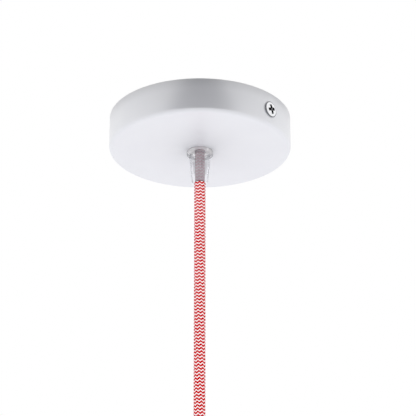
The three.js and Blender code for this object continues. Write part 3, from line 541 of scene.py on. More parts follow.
def rounded_rectangle(width, height, radius):
    x, y = width / 2 - radius, height / 2 - radius
    corners = ((x, y, 0), (-x, y, 90), (-x, -y, 180), (x, -y, 270))
    return [point for cx, cy, a in corners for point in arc((cx, cy), radius, a, a + 90, 6)]


def stand(at=(0, 0, 0), turn=(0, 0, 0)):
    """A place, and a turn in degrees about X, then Y, then Z."""
    turns = [Matrix.Rotation(math.radians(a), 4, axis) for a, axis in zip(turn, "XYZ")]
    return Matrix.Translation(at) @ turns[2] @ turns[1] @ turns[0]


def moved(piece, at=(0, 0, 0), turn=(0, 0, 0)):
    piece.data.transform(stand(at, turn))
    return piece


def rod(radius, length, at=(0, 0, 0), turn=(0, 0, 0), segments=48):
    """A plain round tool that cuts or joins, from its lower end up."""
    return moved(pushed("tool", arc((0, 0), radius, 0, 360, segments)[:-1], length), at, turn)


def applied(piece):
    """Puts a piece's modifiers into its mesh."""
    shown = piece.evaluated_get(bpy.context.evaluated_depsgraph_get())
    old, piece.data = piece.data, bpy.data.meshes.new_from_object(shown)
    piece.modifiers.clear()
    bpy.data.meshes.remove(old)
    return piece


def combined(piece, tools, operation="DIFFERENCE"):
    for tool in tools:
        step = piece.modifiers.new("combine", "BOOLEAN")
        step.object = tool
        step.operation = operation
        step.solver = "EXACT"
        step.material_mode = "TRANSFER"
        applied(piece)
        bpy.data.objects.remove(tool)
    return piece


def softened(piece, width, segments=2, angle=35):
    """Rounds a piece's sharp edges."""
    step = piece.modifiers.new("soften", "BEVEL")
    step.width = width
    step.segments = segments
    step.limit_method = "ANGLE"
    step.angle_limit = math.radians(angle)
    step.harden_normals = True
    return applied(piece)


def coloured(piece, *materials):
    piece.data.materials.clear()
    for material in materials:
        piece.data.materials.append(material)
    return piece


def settled(piece, node, at=(0, 0, 0), turn=(0, 0, 0), sharp=38):
    """Stands a piece in its place in metres, for its node, on the body."""
    mesh = piece.data
    mesh.transform(Matrix.Scale(MM, 4) @ stand(at, turn))
    mesh.polygons.foreach_set("use_smooth", [True] * len(mesh.polygons))
    mesh.set_sharp_from_angle(angle=math.radians(sharp))
    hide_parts(node)
    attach(piece, "root")
    return piece


def threaded(radius, depth, pitch, low, high):
    """Rows of a screw thread between two heights."""
    def ridge(z):
        return lambda angle: radius - depth * abs(((z / pitch - angle / TAU) % 1.0) * 2 - 1)

    steps = max(2, round((high - low) / pitch * 6))
    heights = [low + (high - low) * k / steps for k in range(steps + 1)]
    return [(ridge(z), z) for z in heights]


def folded(corners, thickness, inner_radius, steps=8):
    """The outline of a sheet strip seen from its edge, folded at each corner of its middle line."""
    points = [Vector(c) for c in corners]
    bend = inner_radius + thickness / 2
    line = []
    first = (points[1] - points[0]).normalized()
    line.append((points[0], Vector((-first.y, first.x))))
    for before, corner, after in zip(points, points[1:], points[2:]):
        into, out = (corner - before).normalized(), (after - corner).normalized()
        turn = math.atan2(into.x * out.y - into.y * out.x, into.dot(out))
        side = math.copysign(1.0, turn)
        normal = Vector((-into.y, into.x))
        centre = corner - into * bend * math.tan(abs(turn) / 2) + normal * side * bend
        for k in range(steps + 1):
            spun = Matrix.Rotation(turn * k / steps, 2) @ normal
            line.append((centre - spun * side * bend, spun))
    last = (points[-1] - points[-2]).normalized()
    line.append((points[-1], Vector((-last.y, last.x))))
    left = [p + n * thickness / 2 for p, n in line]
    right = [p - n * thickness / 2 for p, n in line]
    return [tuple(p) for p in left + right[::-1]]


def strip(name, corners, thickness, inner_radius, width):
    """A folded strip, drawn in X and Z, with its middle on y = 0."""
    outline = folded(corners, thickness, inner_radius)
    return moved(pushed(name, outline, width), (0, width / 2, 0), (90, 0, 0))


def smooth_route(points, steps):
    """Points along a smooth curve through the given ones, as the part's source draws it."""
    given = [Vector(p) for p in points]
    given = [given[0] * 2 - given[1], *given, given[-1] * 2 - given[-2]]
    route = []
    for p0, p1, p2, p3 in zip(given, given[1:], given[2:], given[3:]):
        d0, d1, d2 = (math.sqrt((b - a).length) for a, b in ((p0, p1), (p1, p2), (p2, p3)))
        out = ((p1 - p0) / d0 - (p2 - p0) / (d0 + d1) + (p2 - p1) / d1) * d1
        into = ((p2 - p1) / d1 - (p3 - p1) / (d1 + d2) + (p3 - p2) / d2) * d1
        for k in range(steps):
            t = k / steps
            route.append(
                p1 * (2 * t ** 3 - 3 * t ** 2 + 1) + out * (t ** 3 - 2 * t ** 2 + t)
                + p2 * (3 * t ** 2 - 2 * t ** 3) + into * (t ** 3 - t ** 2))
    return [*route, given[-2]]


def round_section(route, reaches, sides):
    """Rings of points round a route. Each reach is a radius, or a function that gives it at an angle."""
    side = Vector((0, 1, 0)) if abs((route[1] - route[0]).normalized().y) < 0.9 else Vector((1, 0, 0))
    rings = []
    for i, point in enumerate(route):
        ahead = (route[min(i + 1, len(route) - 1)] - route[max(i - 1, 0)]).normalized()
        side = (side - ahead * side.dot(ahead)).normalized()
        up = ahead.cross(side)
        ring = []
        for k in range(sides):
            a = TAU * k / sides
            ring.append(point + (side * math.cos(a) + up * math.sin(a)) * reach_at(reaches[i], a))
        rings.append(ring)
    return rings


# Camera

camera = bpy.data.objects.new("camera", bpy.data.cameras.new("camera"))
bpy.context.collection.objects.link(camera)
camera.location = CAMERA_PLACE
camera.rotation_euler = (math.radians(90 + CAMERA_PITCH), 0, math.radians(CAMERA_TURN))
camera.data.lens = CAMERA_LENS
bpy.context.scene.camera = camera


# Cable

def cable_radius(z):
    """The cable's outer radius at a height. Each grip squeezes it, and it swells again at both ends."""
    squeeze = 0.0
    for inner, mouth in SQUEEZES:
        way = math.copysign(1.0, mouth - inner)
        past_mouth = (z - mouth) * way
        past_inner = (inner - z) * way
        outside = max(past_mouth / SWELL_AT_MOUTH, past_inner / SWELL_IN_STEM)
        squeeze = max(squeeze, min(1.0, 1.0 - outside))
    ease = squeeze * squeeze * (3 - 2 * squeeze)
    return CABLE_RADIUS + (SQUEEZED_RADIUS - CABLE_RADIUS) * ease


def textile_cable():
    """The braid as a fine tube. Its rows follow the zigzag, so a stitch is red or white from edge to edge."""
    sides = BRAID_COLUMNS * COLUMN_STEPS
    shares = [k / sides for k in range(sides)]
    ramps = [abs((share * BRAID_COLUMNS / 2) % 1.0 - 0.5) * 2 for share in shares]
    seams = [1 - 0.6 * (abs((share * BRAID_COLUMNS) % 1.0 - 0.5) * 2) ** 4 for share in shares]
    low = math.floor((JACKET_END - BRAID_SHIFT) / BRAID_REPEAT)
    high = math.ceil((JACKET_TOP + BRAID_RISE - BRAID_SHIFT) / BRAID_REPEAT)
    rings = []
    for i in range((high - low) * 2 * STITCH_ROWS + 1):
        stitch, row = divmod(i, STITCH_ROWS)
        start, share = (0.0, RED_SHARE) if stitch % 2 == 0 else (RED_SHARE, 1 - RED_SHARE)
        height = BRAID_SHIFT + (low + stitch // 2 + start + share * row / STITCH_ROWS) * BRAID_REPEAT
        across = row / STITCH_ROWS * 2 - 1
        crown = math.sqrt(1 - across * across) if i % STITCH_ROWS else 0.0
        ring = []
        for around, ramp, seam in zip(shares, ramps, seams):
            z = height - ramp * BRAID_RISE
            z = min(JACKET_TOP, max(JACKET_END, z))
            radius = cable_radius(z) - STITCH_RELIEF * (1 - crown * seam)
            angle = TAU * (around - z * BRAID_TWIST / 360) + BRAID_TURN
            ring.append((radius * math.cos(angle), radius * math.sin(angle), z))
        rings.append(ring)
    piece = mesh_object("braided_cable", *rings_to_faces(rings, False))
    coloured(piece, red_yarn, white_yarn, sheath)
    for index, face in enumerate(piece.data.polygons):
        row = index // sides
        face.material_index = 2 if len(face.vertices) > 4 else (row // STITCH_ROWS) % 2
    return settled(piece, "textile_cable", sharp=180)


cable = textile_cable()


# Canopy and lamp holder sleeve, two pressed cups

def pressed_cup(name, radius, height, segments):
    """A cup with its closed end at z = 0 and its open end up."""
    wall, edge, lip = 1.0, 2.8, 0.25
    burr = 0.12
    rows = [
        (STEM_HOLE, burr), (STEM_HOLE + burr, 0.0), *arc((radius - edge, edge), edge, -90, 0, 12),
        (radius, height - lip), (radius - lip, height), (radius - wall + lip, height),
        (radius - wall, height - lip), *arc((radius - edge, edge), edge - wall, 0, -90, 10),
        (STEM_HOLE + burr, wall), (STEM_HOLE, wall - burr),
    ]
    return turned(name, rows, segments, closed=True)


def side_screw_tool():
    """Cuts the side screws' holes in both sides at once."""
    past_wall = CANOPY_RADIUS + 2
    return rod(CROSS_HOLE, 2 * past_wall, (-past_wall, 0, SIDE_SCREW_LEVEL), (0, 90, 0))


def cups():
    canopy = moved(pressed_cup("canopy_shell", CANOPY_RADIUS, CANOPY_HEIGHT, 192), (0, 0, CANOPY_FLOOR))
    combined(canopy, [side_screw_tool()])
    settled(coloured(canopy, paint), "canopy_cup", sharp=50)
    sleeve = coloured(pressed_cup("holder_shell", HOLDER_RADIUS, HOLDER_HEIGHT, 144), paint)
    settled(sleeve, "holder_sleeve", (0, 0, HOLDER_TOP), (180, 0, 0), sharp=50)


cups()


# Screws, with the head's underside at z = 0, the head above it and the shank below

def side_screw(node, side):
    """A screw with a low domed head and a cross recess, in the canopy's side wall."""
    head, rim, height, length = 5.35, 0.4, 1.15, 9.0
    shank, pitch = CROSS_THREAD
    crown = height - rim
    ball = (head ** 2 + crown ** 2) / (2 * crown)
    rise = math.degrees(math.asin(head / ball))
    rows = [
        (shank - 0.5, -length), *threaded(shank, 0.22, pitch, -length + 0.4, -0.9),
        (shank - 0.2, -0.5), (shank - 0.2, 0.0), (head - 0.15, 0.0), (head, 0.15),
        *arc((0, height - ball), ball, 90 - rise, 88, 14),
    ]
    screw = coloured(turned(node.replace("side", "cross"), rows, 72), chrome)
    wide, narrow, depth, blade_thick = 3.5, 1.9, 1.7, 2.0
    blade = [(-wide, 0.1), (-narrow, -depth), (narrow, -depth), (wide, 0.1)]
    blades = []
    for quarter in (0, 90):
        tool = moved(pushed("tool", blade, blade_thick), (0, blade_thick / 2, 0), (90, 0, 0))
        # The faces that the blades cut take the dark recess finish, which is painted shade.
        blades.append(coloured(moved(tool, (0, 0, height), (0, 0, RECESS_TURN + quarter)), recess_shade))
    combined(screw, blades)
    softened(screw, 0.08, 2, 50)
    place = (side * (CANOPY_RADIUS + SEAT), 0, SIDE_SCREW_LEVEL)
    settled(screw, node, place, (0, 90 * side, 0), 45)


side_screw("side_screw_right", 1)
side_screw("side_screw_left", -1)


def slotted_screw(node, at, turn, thread, length, head, height, metal=(zinc, "zinc_steel")):
    """A cheese-head screw with a slot and a real thread."""
    (shank, pitch), (finish, slot) = thread, metal
    round_edge = height / 3
    rows = [
        (shank - 0.35, -length), *threaded(shank, 0.3 * pitch, pitch, -length + 0.35, -0.15),
        (shank - 0.1, 0.0), (head, 0.0),
        *arc((head - round_edge, height - round_edge), round_edge, 0, 90, 5), (0.3, height),
    ]
    screw = turned(node + "_threaded", rows, 48)
    across = rounded_rectangle(4 * head, height / 2, 0.01)
    combined(screw, [moved(pushed("tool", across, height), (0, 0, height * 0.62))])
    softened(screw, 0.06, 1, 50)
    settled(coloured(screw, finish), node, at, turn, 40)


# Cord grips: the stem, flange and slit collet in one, and the conical cap

def grip_body(name, node, stem, at, turn=(0, 0, 0)):
    """The stem stands up from z = 0, behind a groove at its foot, and the flange and the collet lie below."""
    flange, thick, edge, collet, groove = 8.7, 3.0, 0.8, 13.5, 3.55
    tip = -thick - collet
    close = SQUEEZED_RADIUS + 0.04
    rows = [
        (close, tip), (close, 0.4), (CABLE_BORE, 1.4), (CABLE_BORE, stem), (STEM_RADIUS - 0.4, stem),
        *threaded(STEM_RADIUS, 0.3, STEM_PITCH, 0.8, stem - 0.5)[::-1], (groove, 0.5), (groove, 0.0),
        (flange - 0.3, 0.0), (flange, -0.3), *arc((flange - edge, -thick + edge), edge, 0, -90, 8),
        (STEM_RADIUS, -thick), (STEM_RADIUS, tip / 2), (close + 0.9, tip + 0.3), (close + 0.6, tip),
    ]
    body = turned(name, rows, 96, closed=True)
    slit = rounded_rectangle(12, 0.7, 0.1)
    combined(body, [moved(pushed("tool", slit, 9.5), (0, 0, tip - 0.5), (0, 0, a)) for a in (45, 135)])
    coloured(body, flange_plastic, inner_plastic, rough_plastic)
    for face in body.data.polygons:
        height, in_bore = face.center.z, face.center.xy.length < CABLE_BORE + 0.1
        if in_bore or height < -thick - 0.02:
            face.material_index = 1
        else:
            face.material_index = 2 if height > -0.02 else 0
    settled(body, node, at, turn, 50)


def grip_cap(name, node, at, turn=(0, 0, 0)):
    top, mouth, wide, narrow, lip, inner_lip = -3.1, -22.1, 7.0, 5.45, 0.6, 0.4
    close = SQUEEZED_RADIUS + 0.1
    bore = STEM_HOLE - 0.2
    rows = [
        (wide - 0.3, top), (wide, top - 0.3), *arc((narrow - lip, mouth + lip), lip, 0, -90, 8),
        *arc((CABLE_RADIUS + 0.5, mouth + inner_lip), inner_lip, -90, -180, 5),
        (CABLE_RADIUS, mouth + 2.2), (close, mouth + 3.4), (close + 0.8, -16.3), (bore, -9.75), (bore, top),
    ]
    cap = turned(name, rows, 96, closed=True)
    coloured(cap, cap_plastic, inner_plastic)
    for face in cap.data.polygons:
        outwards = face.normal.xy.dot(face.center.xy) > 0
        face.material_index = 0 if outwards else 1
    settled(cap, node, at, turn, 50)


grip_body("canopy_grip", "grip_body", 6.3, (0, 0, GRIP_SEAT))
grip_cap("canopy_cone", "grip_cap", (0, 0, GRIP_SEAT))
grip_body("sleeve_grip", "holder_grip_body", 6.7, (0, 0, HOLDER_TOP + SEAT), (180, 0, 0))
grip_cap("sleeve_cone", "holder_grip_cap", (0, 0, HOLDER_TOP + SEAT), (180, 0, 0))


def hex_nut(name, node, at, turn=(0, 0, 0)):
    flats, thick, thread, lead = 7.0, 3.0, 0.25, 0.3
    corner = flats / math.cos(math.pi / 6)
    cut = (corner - flats) / 2
    nut = pushed(name, arc((0, 0), corner, 0, 360, 6)[:-1], thick)
    chamfer = turned("tool", [(flats, 0), (corner, cut), (corner, thick - cut), (flats, thick)], 96)
    bore = turned("tool", [
        (STEM_HOLE + thread, -0.01), (STEM_HOLE, lead),
        *threaded(STEM_HOLE, thread, STEM_PITCH, lead, thick - lead),
        (STEM_HOLE, thick - lead), (STEM_HOLE + thread, thick + 0.01),
    ], 72)
    combined(combined(nut, [chamfer], "INTERSECT"), [bore])
    settled(coloured(nut, zinc), node, at, turn, 30)


def toothed_washer():
    outer, root, teeth, thick = 8.5, 6.9, 12, 0.8
    outline = []
    for k in range(teeth):
        for radius, share in ((root, 0), (outer, 0.1), (outer, 0.45), (root, 0.7)):
            a = (k + share) * TAU / teeth
            outline.append((radius * math.cos(a), radius * math.sin(a)))
    washer = combined(pushed("toothed_ring", outline, thick), [rod(STEM_HOLE, 1, (0, 0, -0.1), segments=72)])
    settled(coloured(softened(washer, 0.08), zinc), "grip_washer", (0, 0, CANOPY_FLOOR + 1.1))


hex_nut("canopy_lock_nut", "grip_nut", (0, 0, CANOPY_FLOOR + 2.0))
hex_nut("sleeve_lock_nut", "holder_nut", (0, 0, HOLDER_TOP - 2.4), (180, 0, 0))
toothed_washer()


# Ceiling bracket with its terminal block and earth bond

def ceiling_bracket():
    """A strip with a tab down at each end, whose corners clear the inside of the canopy's wall."""
    span, thick, width, drop = 57.846, 1.5, 20.0, 18.0
    reach = span - thick / 2
    slot_place, slot_length, slot_width, cut = span - 13.2, 12, 4.6, 3
    below = -thick * 1.5
    corners = [(-reach, -drop), (-reach, -thick / 2), (reach, -thick / 2), (reach, -drop)]
    bracket = strip("bent_bracket", corners, thick, 1.2, width)
    envelope = pushed("tool", rounded_rectangle(2 * drop, width, 3.0), 2 * span)
    moved(envelope, (-span, 0, 0), (0, 90, 0))
    combined(bracket, [envelope], "INTERSECT")
    slot = rounded_rectangle(slot_length, slot_width, 2.25)
    slots = [moved(pushed("tool", slot, cut), (x, 0, below)) for x in (slot_place, -slot_place)]
    holes = [
        side_screw_tool(), rod(SMALL_HOLE, cut, (BLOCK_PLACE, 0, below)),
        rod(LARGE_HOLE, cut, (EARTH_PLACE, 0, below)),
    ]
    combined(bracket, slots + holes)
    settled(coloured(softened(bracket, 0.18, 2, 40), zinc), "ceiling_bracket")


def terminal_block():
    """A plate with a barrel for each pole, a brass tube in each, and a chimney for each clamp screw."""
    poles, clamps, length, width, plate = (POLE_PLACE, -POLE_PLACE), (-4.2, 4.2), 16, 14.1, 2.5
    block = moved(pushed("two_pole_block", rounded_rectangle(length, width, 0.9), plate), (0, 0, -plate))
    half, along = length / 2, (0, 90, 0)
    joins = [rod(POLE_DEPTH, length, (-half, y, -POLE_DEPTH), along) for y in poles]
    joins += [rod(2.9, 6.9, (x, y, -10.5)) for y in poles for x in clamps]
    cuts = [rod(2.7, length + 1, (-half - 0.5, y, -POLE_DEPTH), along) for y in poles]
    cuts += [rod(2.0, 7, (x, y, -10.6)) for y in poles for x in clamps]
    cuts += [rod(SMALL_HOLE, 5, (0, 0, -3.75)), rod(2.4, 10.5, (0, 0, -13))]
    combined(combined(block, joins, "UNION"), cuts)
    softened(block, 0.12, 2, 50)
    place = (BLOCK_PLACE, 0, UNDER_BRACKET)
    settled(coloured(block, block_plastic), "terminal_block", place, sharp=45)
    bore, outer, cut, long = 1.5, 2.4, 0.2, 13
    for pole, y in enumerate(poles):
        tube = turned(f"brass_tube_{pole + 1}", [
            (bore, cut), (bore + cut, 0), (outer - cut, 0), (outer, cut), (outer, long - cut),
            (outer - cut, long), (bore + cut, long), (bore, long - cut),
        ], 64, closed=True)
        moved(tube, (-long / 2, 0, 0), along)
        combined(tube, [rod(SMALL_HOLE, 4.8, (x, 0, -4.8)) for x in clamps])
        place = (BLOCK_PLACE, y, UNDER_BRACKET - POLE_DEPTH)
        settled(coloured(tube, brass), f"terminal_insert_{pole + 1}", place)
        for end, x in enumerate(clamps):
            slotted_screw(
                f"clamp_screw_{2 * pole + end + 1}", (BLOCK_PLACE + x, y, UNDER_BRACKET - 6.1),
                (180, 0, 30 * pole + 50 * end), SMALL_THREAD, length=1.65, head=1.7, height=1.6,
            )


def ring_lug(name, node, at, turn=(0, 0, 0)):
    """A ring round the screw with its top at z = 0, and a barrel towards +X that is crimped on the core."""
    ring, thick, wall, crimp, chamfer = 3.5, 0.8, 0.5, 0.25, 0.15
    opening = math.degrees(math.asin(LUG_NECK / ring))
    neck_end = LUG_START + 1
    outline = [*arc((0, 0), ring, opening, 360 - opening, 40), (neck_end, -LUG_NECK), (neck_end, LUG_NECK)]
    plate = moved(pushed(name, outline, thick), (0, 0, -thick))
    inside = LUG_NECK - wall
    barrel = turned("tool", [
        (inside, chamfer), (inside + chamfer, 0), (LUG_NECK - chamfer, 0), (LUG_NECK, chamfer),
        (LUG_NECK, 1.5), (LUG_NECK - crimp, 2.3), (LUG_NECK - crimp, 3.4), (LUG_NECK, 4.2),
        (LUG_NECK, LUG_LENGTH - chamfer), (LUG_NECK - chamfer, LUG_LENGTH), (inside, LUG_LENGTH),
    ], 48, closed=True)
    combined(plate, [moved(barrel, (LUG_START, 0, -LUG_NECK), (0, 90, 0))], "UNION")
    combined(plate, [rod(LARGE_HOLE, 3, (0, 0, -2))])
    settled(coloured(softened(plate, 0.06, 1, 50), brass), node, at, turn, 45)


ceiling_bracket()
terminal_block()
slotted_screw(
    "block_screw", (BLOCK_PLACE, 0, UNDER_BRACKET - 2.6), (180, 0, 20),
    SMALL_THREAD, length=4.0, head=2.1, height=1.5,
)
ring_lug("bracket_earth_ring", "earth_lug", (EARTH_PLACE, 0, UNDER_BRACKET))
slotted_screw(
    "earth_screw", (EARTH_PLACE, 0, UNDER_BRACKET - 0.9), (180, 0, 65),
    LARGE_THREAD, length=2.4, head=3.5, height=2.2, metal=(brass, "brass"),
)


# Cores, each with its copper strands bare at the end

def strand_reach(step):
    """The radius of the twisted strands at a step along the bare end, as a function of the angle."""
    radius, groove, strands, twist = 0.55, 0.16, 7, 0.25
    return lambda angle: radius * (1 - groove * abs(math.sin(strands / 2 * angle + twist * step)))


def core(node, kind, points, way):
    slot, cover = core_covers[kind]
    route = smooth_route(points, 8)
    cover_radius, cut_edge, bare, steps, sides = 1.1, 0.05, 5.0, 20, 28
    tip = Vector(way)
    strands = [route[-1] + tip * bare * k / steps for k in range(steps + 1)]
    reaches = [cover_radius] * (len(route) - 1) + [cover_radius - cut_edge]
    reaches += [strand_reach(k) for k in range(steps + 1)]
    rings = round_section(route + strands, reaches, sides)
    wire = coloured(solid(node + "_stripped", *rings_to_faces(rings, False)), cover, copper)
    end = route[-1].dot(tip)
    for face in wire.data.polygons:
        face.material_index = 1 if face.center.dot(tip) > end - 0.001 and face.area < 0.2 else 0
    settled(wire, node, sharp=50)


def upper_cores():
    """Up out of the jacket, then along the bracket to the block's poles and to the earth lug."""
    lay, start = CORE_LAY, JACKET_TOP + SEAT
    pole_z, lug_z = UNDER_BRACKET - POLE_DEPTH, UNDER_BRACKET - LUG_NECK
    for kind, side in (("live", 1), ("neutral", -1)):
        y = side * POLE_PLACE
        core(f"upper_core_{kind}", kind, [
            (0.5, side * lay, start), (0.6, side * lay * 1.05, start + 2.2), (2.4, y * 0.55, pole_z - 2.6),
            (6.5, y * 0.9, pole_z - 0.4), (10.5, y, pole_z), (15.2, y, pole_z),
        ], (1, 0, 0))
    core("upper_core_earth", "earth", [
        (-lay, 0, start), (-lay - 0.1, 0, start + 2.4), (-3.6, 0, start + 5.8), (-7.6, 0, lug_z - 0.7),
        (EARTH_PLACE + LUG_REACH, 0, lug_z),
    ], (-1, 0, 0))


def lower_cores():
    """Down out of the jacket, then aside to the porcelain's terminals and to the stirrup's earth lug."""
    lay, start, wire_z = CORE_LAY, JACKET_END - SEAT, SOCKET_TOP + SEAT + WIRE_LIFT
    for kind, y in (("live", LIVE_PLACE), ("neutral", NEUTRAL_PLACE)):
        side = math.copysign(lay, y)
        core(f"lower_core_{kind}", kind, [
            (0.5, side, start), (0.6, side, start - 1.6), (5, y * 0.7, start - 4.4), (9, y, wire_z + 4.2),
            (9, y, wire_z + 1.8), (7, y, wire_z), (3.7, y, wire_z),
        ], (-1, 0, 0))
    lug_x, lug_z = LUG_REACH - STIRRUP_SCREW_PLACE, STIRRUP_FOOT_TOP + LUG_NECK
    core("lower_core_earth", "earth", [
        (-lay, 0, start), (-lay, 0, start - 1.8), (0.4, -0.2, start - 5.6), (3.4, -0.4, lug_z + 5.2),
        (3.2, -0.2, lug_z + 1.6), (lug_x + 2.2, 0, lug_z), (lug_x, 0, lug_z),
    ], (-1, 0, 0))


upper_cores()
lower_cores()


# Lamp holder

def holder_stirrup():
    thick, top, foot, reach, inner = 1.2, -1.7, -24.5, 15.4, 6.4
    corners = [(-inner, foot), (-reach, foot), (-reach, top), (reach, top), (reach, foot), (inner, foot)]
    stirrup = strip("bent_stirrup", corners, thick, 1.4, 11.0)
    holes = [rod(STEM_HOLE, 3, (0, 0, top - thick), segments=72)]
    holes += [rod(LARGE_HOLE, 3, (side * STIRRUP_SCREW_PLACE, 0, foot - thick)) for side in (1, -1)]
    combined(stirrup, holes)
    softened(stirrup, 0.15, 2, 40)
    settled(coloured(stirrup, zinc), "holder_stirrup", (0, 0, HOLDER_TOP))


def socket_body():
    radius, bottom, edge, bore, lip, fillet = 20.0, -36.0, 1.5, 13.95, 1.2, 0.4
    rows = [
        (0.5, 0.0), *arc((radius - edge, -edge), edge, 90, 0, 8),
        *arc((radius - edge, bottom + edge), edge, 0, -90, 8), (bore + lip + 0.2, bottom),
        *arc((bore + lip, bottom + lip), lip, -90, -180, 6), (bore, -SOCKET_FLOOR - fillet),
        (bore - fillet, -SOCKET_FLOOR), (0.5, -SOCKET_FLOOR),
    ]
    body = turned("porcelain_body", rows, 144)
    holes = [rod(LARGE_HOLE, 7.5, (side * STIRRUP_SCREW_PLACE, 0, -6.5)) for side in (1, -1)]
    through = SOCKET_FLOOR + 2
    holes += [rod(RIVET_HOLE, through, (0, y, -SOCKET_FLOOR - 1)) for y in (LIVE_RIVET_PLACE, NEUTRAL_PLACE)]
    combined(body, holes)
    settled(coloured(body, glaze), "socket_body", (0, 0, SOCKET_TOP), sharp=42)


def screw_shell():
    """The shell's wall follows a rounded right-hand thread, and its flange lies under the socket's floor."""
    mean, wall, pitch, turns, plain_top, plain_mouth = 12.8, 0.4, 3.629, 5, 3.0, 1.6
    swing, flange_hole, bend, lip = 0.45, 8.2, 0.3, 0.15
    length = plain_top + turns * pitch + plain_mouth

    def wave(radius, depth):
        """The radius of the wall at a depth, as a function of the angle. The thread fades in and out."""
        along = depth - plain_top
        fade = max(0.0, min(1.0, along / (pitch / 2), (turns * pitch - along) / (pitch / 2)))
        return lambda angle: radius + fade * swing * math.cos(TAU * depth / pitch + angle)

    steps = turns * 16
    depths = [plain_top + turns * pitch * k / steps for k in range(steps + 1)]
    outside = mean + wall
    rows = [
        (flange_hole, -wall), (flange_hole, 0.0), (outside - bend, 0.0), (outside, -bend),
        *[(wave(outside, depth), -depth) for depth in depths],
        (outside, -length + lip), (mean + wall / 2, -length), (mean, -length + lip),
        *[(wave(mean, depth), -depth) for depth in depths[::-1]],
        (mean, -wall - bend), (mean - bend, -wall),
    ]
    shell = turned("threaded_shell", rows, 128, closed=True)
    combined(shell, [rod(RIVET_HOLE, 1.6, (0, NEUTRAL_PLACE, -0.8))])
    settled(coloured(shell, brass), "screw_shell", (0, 0, SHELL_TOP), sharp=55)


def centre_contact():
    """A spring strip that stands off the socket's floor. It is drawn along X and turned to lie along Y."""
    corners = [(6.8, -0.25), (2.4, -0.25), (0, -4.2), (-4.6, -3.0)]
    spring = strip("contact_spring", corners, 0.5, 0.5, 6.0)
    combined(spring, [rod(RIVET_HOLE, 3, (LIVE_RIVET_PLACE, 0, -2))])
    coloured(softened(spring, 0.08, 2, 45), brass)
    settled(spring, "centre_contact", (0, 0, SHELL_TOP), (0, 0, 90))


def rivet(node, packed, y):
    """Up through what is packed under the socket's floor, the floor itself and the foot of the terminal."""
    length = packed + 3 * SEAT + SOCKET_FLOOR + RIVET_EMBED
    shank = RIVET_HOLE - FIT
    rows = [
        (0.8, -0.8), (1.4, -0.8), (1.7, -0.6), (1.8, -0.4), (1.8, -0.1), (1.7, 0.0), (shank, 0.0),
        (shank, length - 0.2), (shank - 0.2, length),
    ]
    headed = coloured(turned(node + "_headed", rows, 48), brass)
    settled(headed, node, (0, y, SHELL_TOP - packed - SEAT), sharp=40)


def terminal(name, y, rivet_y, packed, slot_turn):
    base = SOCKET_TOP + SEAT
    side = 8
    body = pushed(f"{name}_clamp_body", rounded_rectangle(side, side, 0.8), side)
    combined(body, [
        rod(1.4, side + 2, (-side / 2 - 1, 0, WIRE_LIFT), (0, 90, 0)),
        rod(SMALL_HOLE, 4.6, (0, 0, WIRE_LIFT)), rod(RIVET_HOLE, RIVET_EMBED + 1.3, (0, rivet_y - y, -1)),
    ])
    settled(coloured(softened(body, 0.2, 2, 45), brass), f"{name}_terminal", (0, y, base))
    slotted_screw(
        f"{name}_terminal_screw", (0, y, base + side + SEAT), (0, 0, slot_turn),
        SMALL_THREAD, length=2.85, head=1.7, height=1.6,
    )
    rivet(f"{name}_rivet", packed, rivet_y)


holder_stirrup()
socket_body()
screw_shell()
centre_contact()
terminal("live", LIVE_PLACE, LIVE_RIVET_PLACE, packed=0.5, slot_turn=25)
terminal("neutral", NEUTRAL_PLACE, NEUTRAL_PLACE, packed=0.4, slot_turn=70)
ring_lug("holder_earth_ring", "holder_earth_lug", (-STIRRUP_SCREW_PLACE, 0, STIRRUP_FOOT_TOP), (180, 0, 0))
for side, way, lift, slot_turn in (("right", 1, 0.0, 40), ("left", -1, 0.9, 75)):
    slotted_screw(
        f"stirrup_screw_{side}", (way * STIRRUP_SCREW_PLACE, 0, STIRRUP_FOOT_TOP + lift),
        (0, 0, slot_turn), LARGE_THREAD, length=7.5, head=3.0, height=2.0,
    )


# Studio: white all round, with a dark screen in front, above the camera, that the paint and the chrome mirror

WHITE = (1.0, 1.0, 1.0)
STUDIO_MIDDLE = Vector((0.0, 0.0, -0.02))
SCREEN_AZIMUTH = 1.5
SCREEN_HALF_WIDTH = 36
SCREEN_LOW = -6
SCREEN_HIGH = 80
FLOOR_LEVEL = -2.3
FLOOR_REACH = 6.0


def studio_point(azimuth, elevation, distance):
    """A point round the set: azimuth is counted from the camera's side, and elevation from the level."""
    a, e = math.radians(CAMERA_TURN + azimuth), math.radians(elevation)
    way = Vector((math.sin(a) * math.cos(e), -math.cos(a) * math.cos(e), math.sin(e)))
    return STUDIO_MIDDLE + way * distance


def floor_finish():
    """Pale, and pure white where it is seen."""
    pale = Finish("studio_floor", roughness=0.9, base_color=rgb(236, 236, 236))
    glow = pale.node("ShaderNodeEmission", None, {"Color": WHITE, "Strength": 1.0})
    mix = pale.node("ShaderNodeMixShader", None, {0: pale.seen_directly(), 2: glow})
    pale.links.new(pale.shader.outputs[0], mix.socket.node.inputs[1])
    pale.links.new(mix.socket, pale.nodes["Material Output"].inputs["Surface"])
    return pale.material


def screen_finish():
    cloth = Finish("screen_cloth", base_color=rgb(20, 20, 22), specular_ior_level=0.0)
    cloth.set(roughness=0.9 + 0.1 * cloth.noise(cloth.place(), 0.01))
    return cloth.material


def surround():
    world = bpy.data.worlds.new("surround")
    bpy.context.scene.world = world
    tree = Tree(world)
    background = tree.nodes["Background"].inputs
    tree.put(background["Color"], WHITE)
    tree.put(background["Strength"], 1.0)


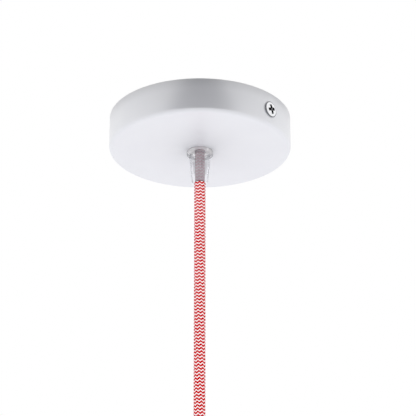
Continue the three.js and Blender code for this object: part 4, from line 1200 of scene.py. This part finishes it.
def studio_sheet(name, points, faces, finish, seen):
    sheet = coloured(mesh_object(name, points, faces), finish)
    sheet.visible_camera = seen


def dark_screen():
    """Part of a ball round the canopy, from just below its level to nearly above it."""
    columns, rows, distance = 12, 10, 1.0
    points = []
    for i in range(rows + 1):
        elevation = SCREEN_LOW + (SCREEN_HIGH - SCREEN_LOW) * i / rows
        for k in range(columns + 1):
            azimuth = SCREEN_AZIMUTH + SCREEN_HALF_WIDTH * (2 * k / columns - 1)
            points.append(studio_point(azimuth, elevation, distance))
    faces = []
    for i in range(rows):
        for k in range(columns):
            corner = i * (columns + 1) + k
            faces.append((corner, corner + 1, corner + columns + 2, corner + columns + 1))
    studio_sheet("front_screen", points, faces, screen_finish(), seen=False)


def floor():
    far = FLOOR_REACH
    points = [(x, y, FLOOR_LEVEL) for x, y in ((-far, -far), (far, -far), (far, far), (-far, far))]
    studio_sheet("floor", points, [(0, 1, 2, 3)], floor_finish(), seen=True)


def lamp(name, kind, place, aim, energy, **settings):
    """A light that no mirror shows."""
    light = bpy.data.objects.new(name, bpy.data.lights.new(name, kind))
    for key, setting in settings.items():
        setattr(light.data, key, setting)
    light.data.energy = energy
    light.location = place
    light.rotation_euler = (Vector(aim) - Vector(place)).to_track_quat("-Z", "Y").to_euler()
    bpy.context.collection.objects.link(light)
    light.visible_glossy = False


def lamps():
    """Two narrow lamps on the cable below the grip, and a broad one that lights the canopy from below."""
    below_grip, aside, elevation, distance = (0.0, 0.0, -0.165), 35, -7, 1.2
    for name, azimuth in (("cable_lamp_left", -aside), ("cable_lamp_right", aside)):
        lamp(
            name, "SPOT", studio_point(azimuth, elevation, distance), below_grip, energy=13.0,
            spot_size=math.radians(12.4), spot_blend=0.08, shadow_soft_size=0.02,
        )
    lamp("floor_lamp", "AREA", (0.0, 0.0, FLOOR_LEVEL + 0.1), (0.0, 0.0, 0.0), energy=12.0, size=3.0)


floor()
dark_screen()
surround()
lamps()

bpy.context.scene.view_settings.view_transform = "Standard"
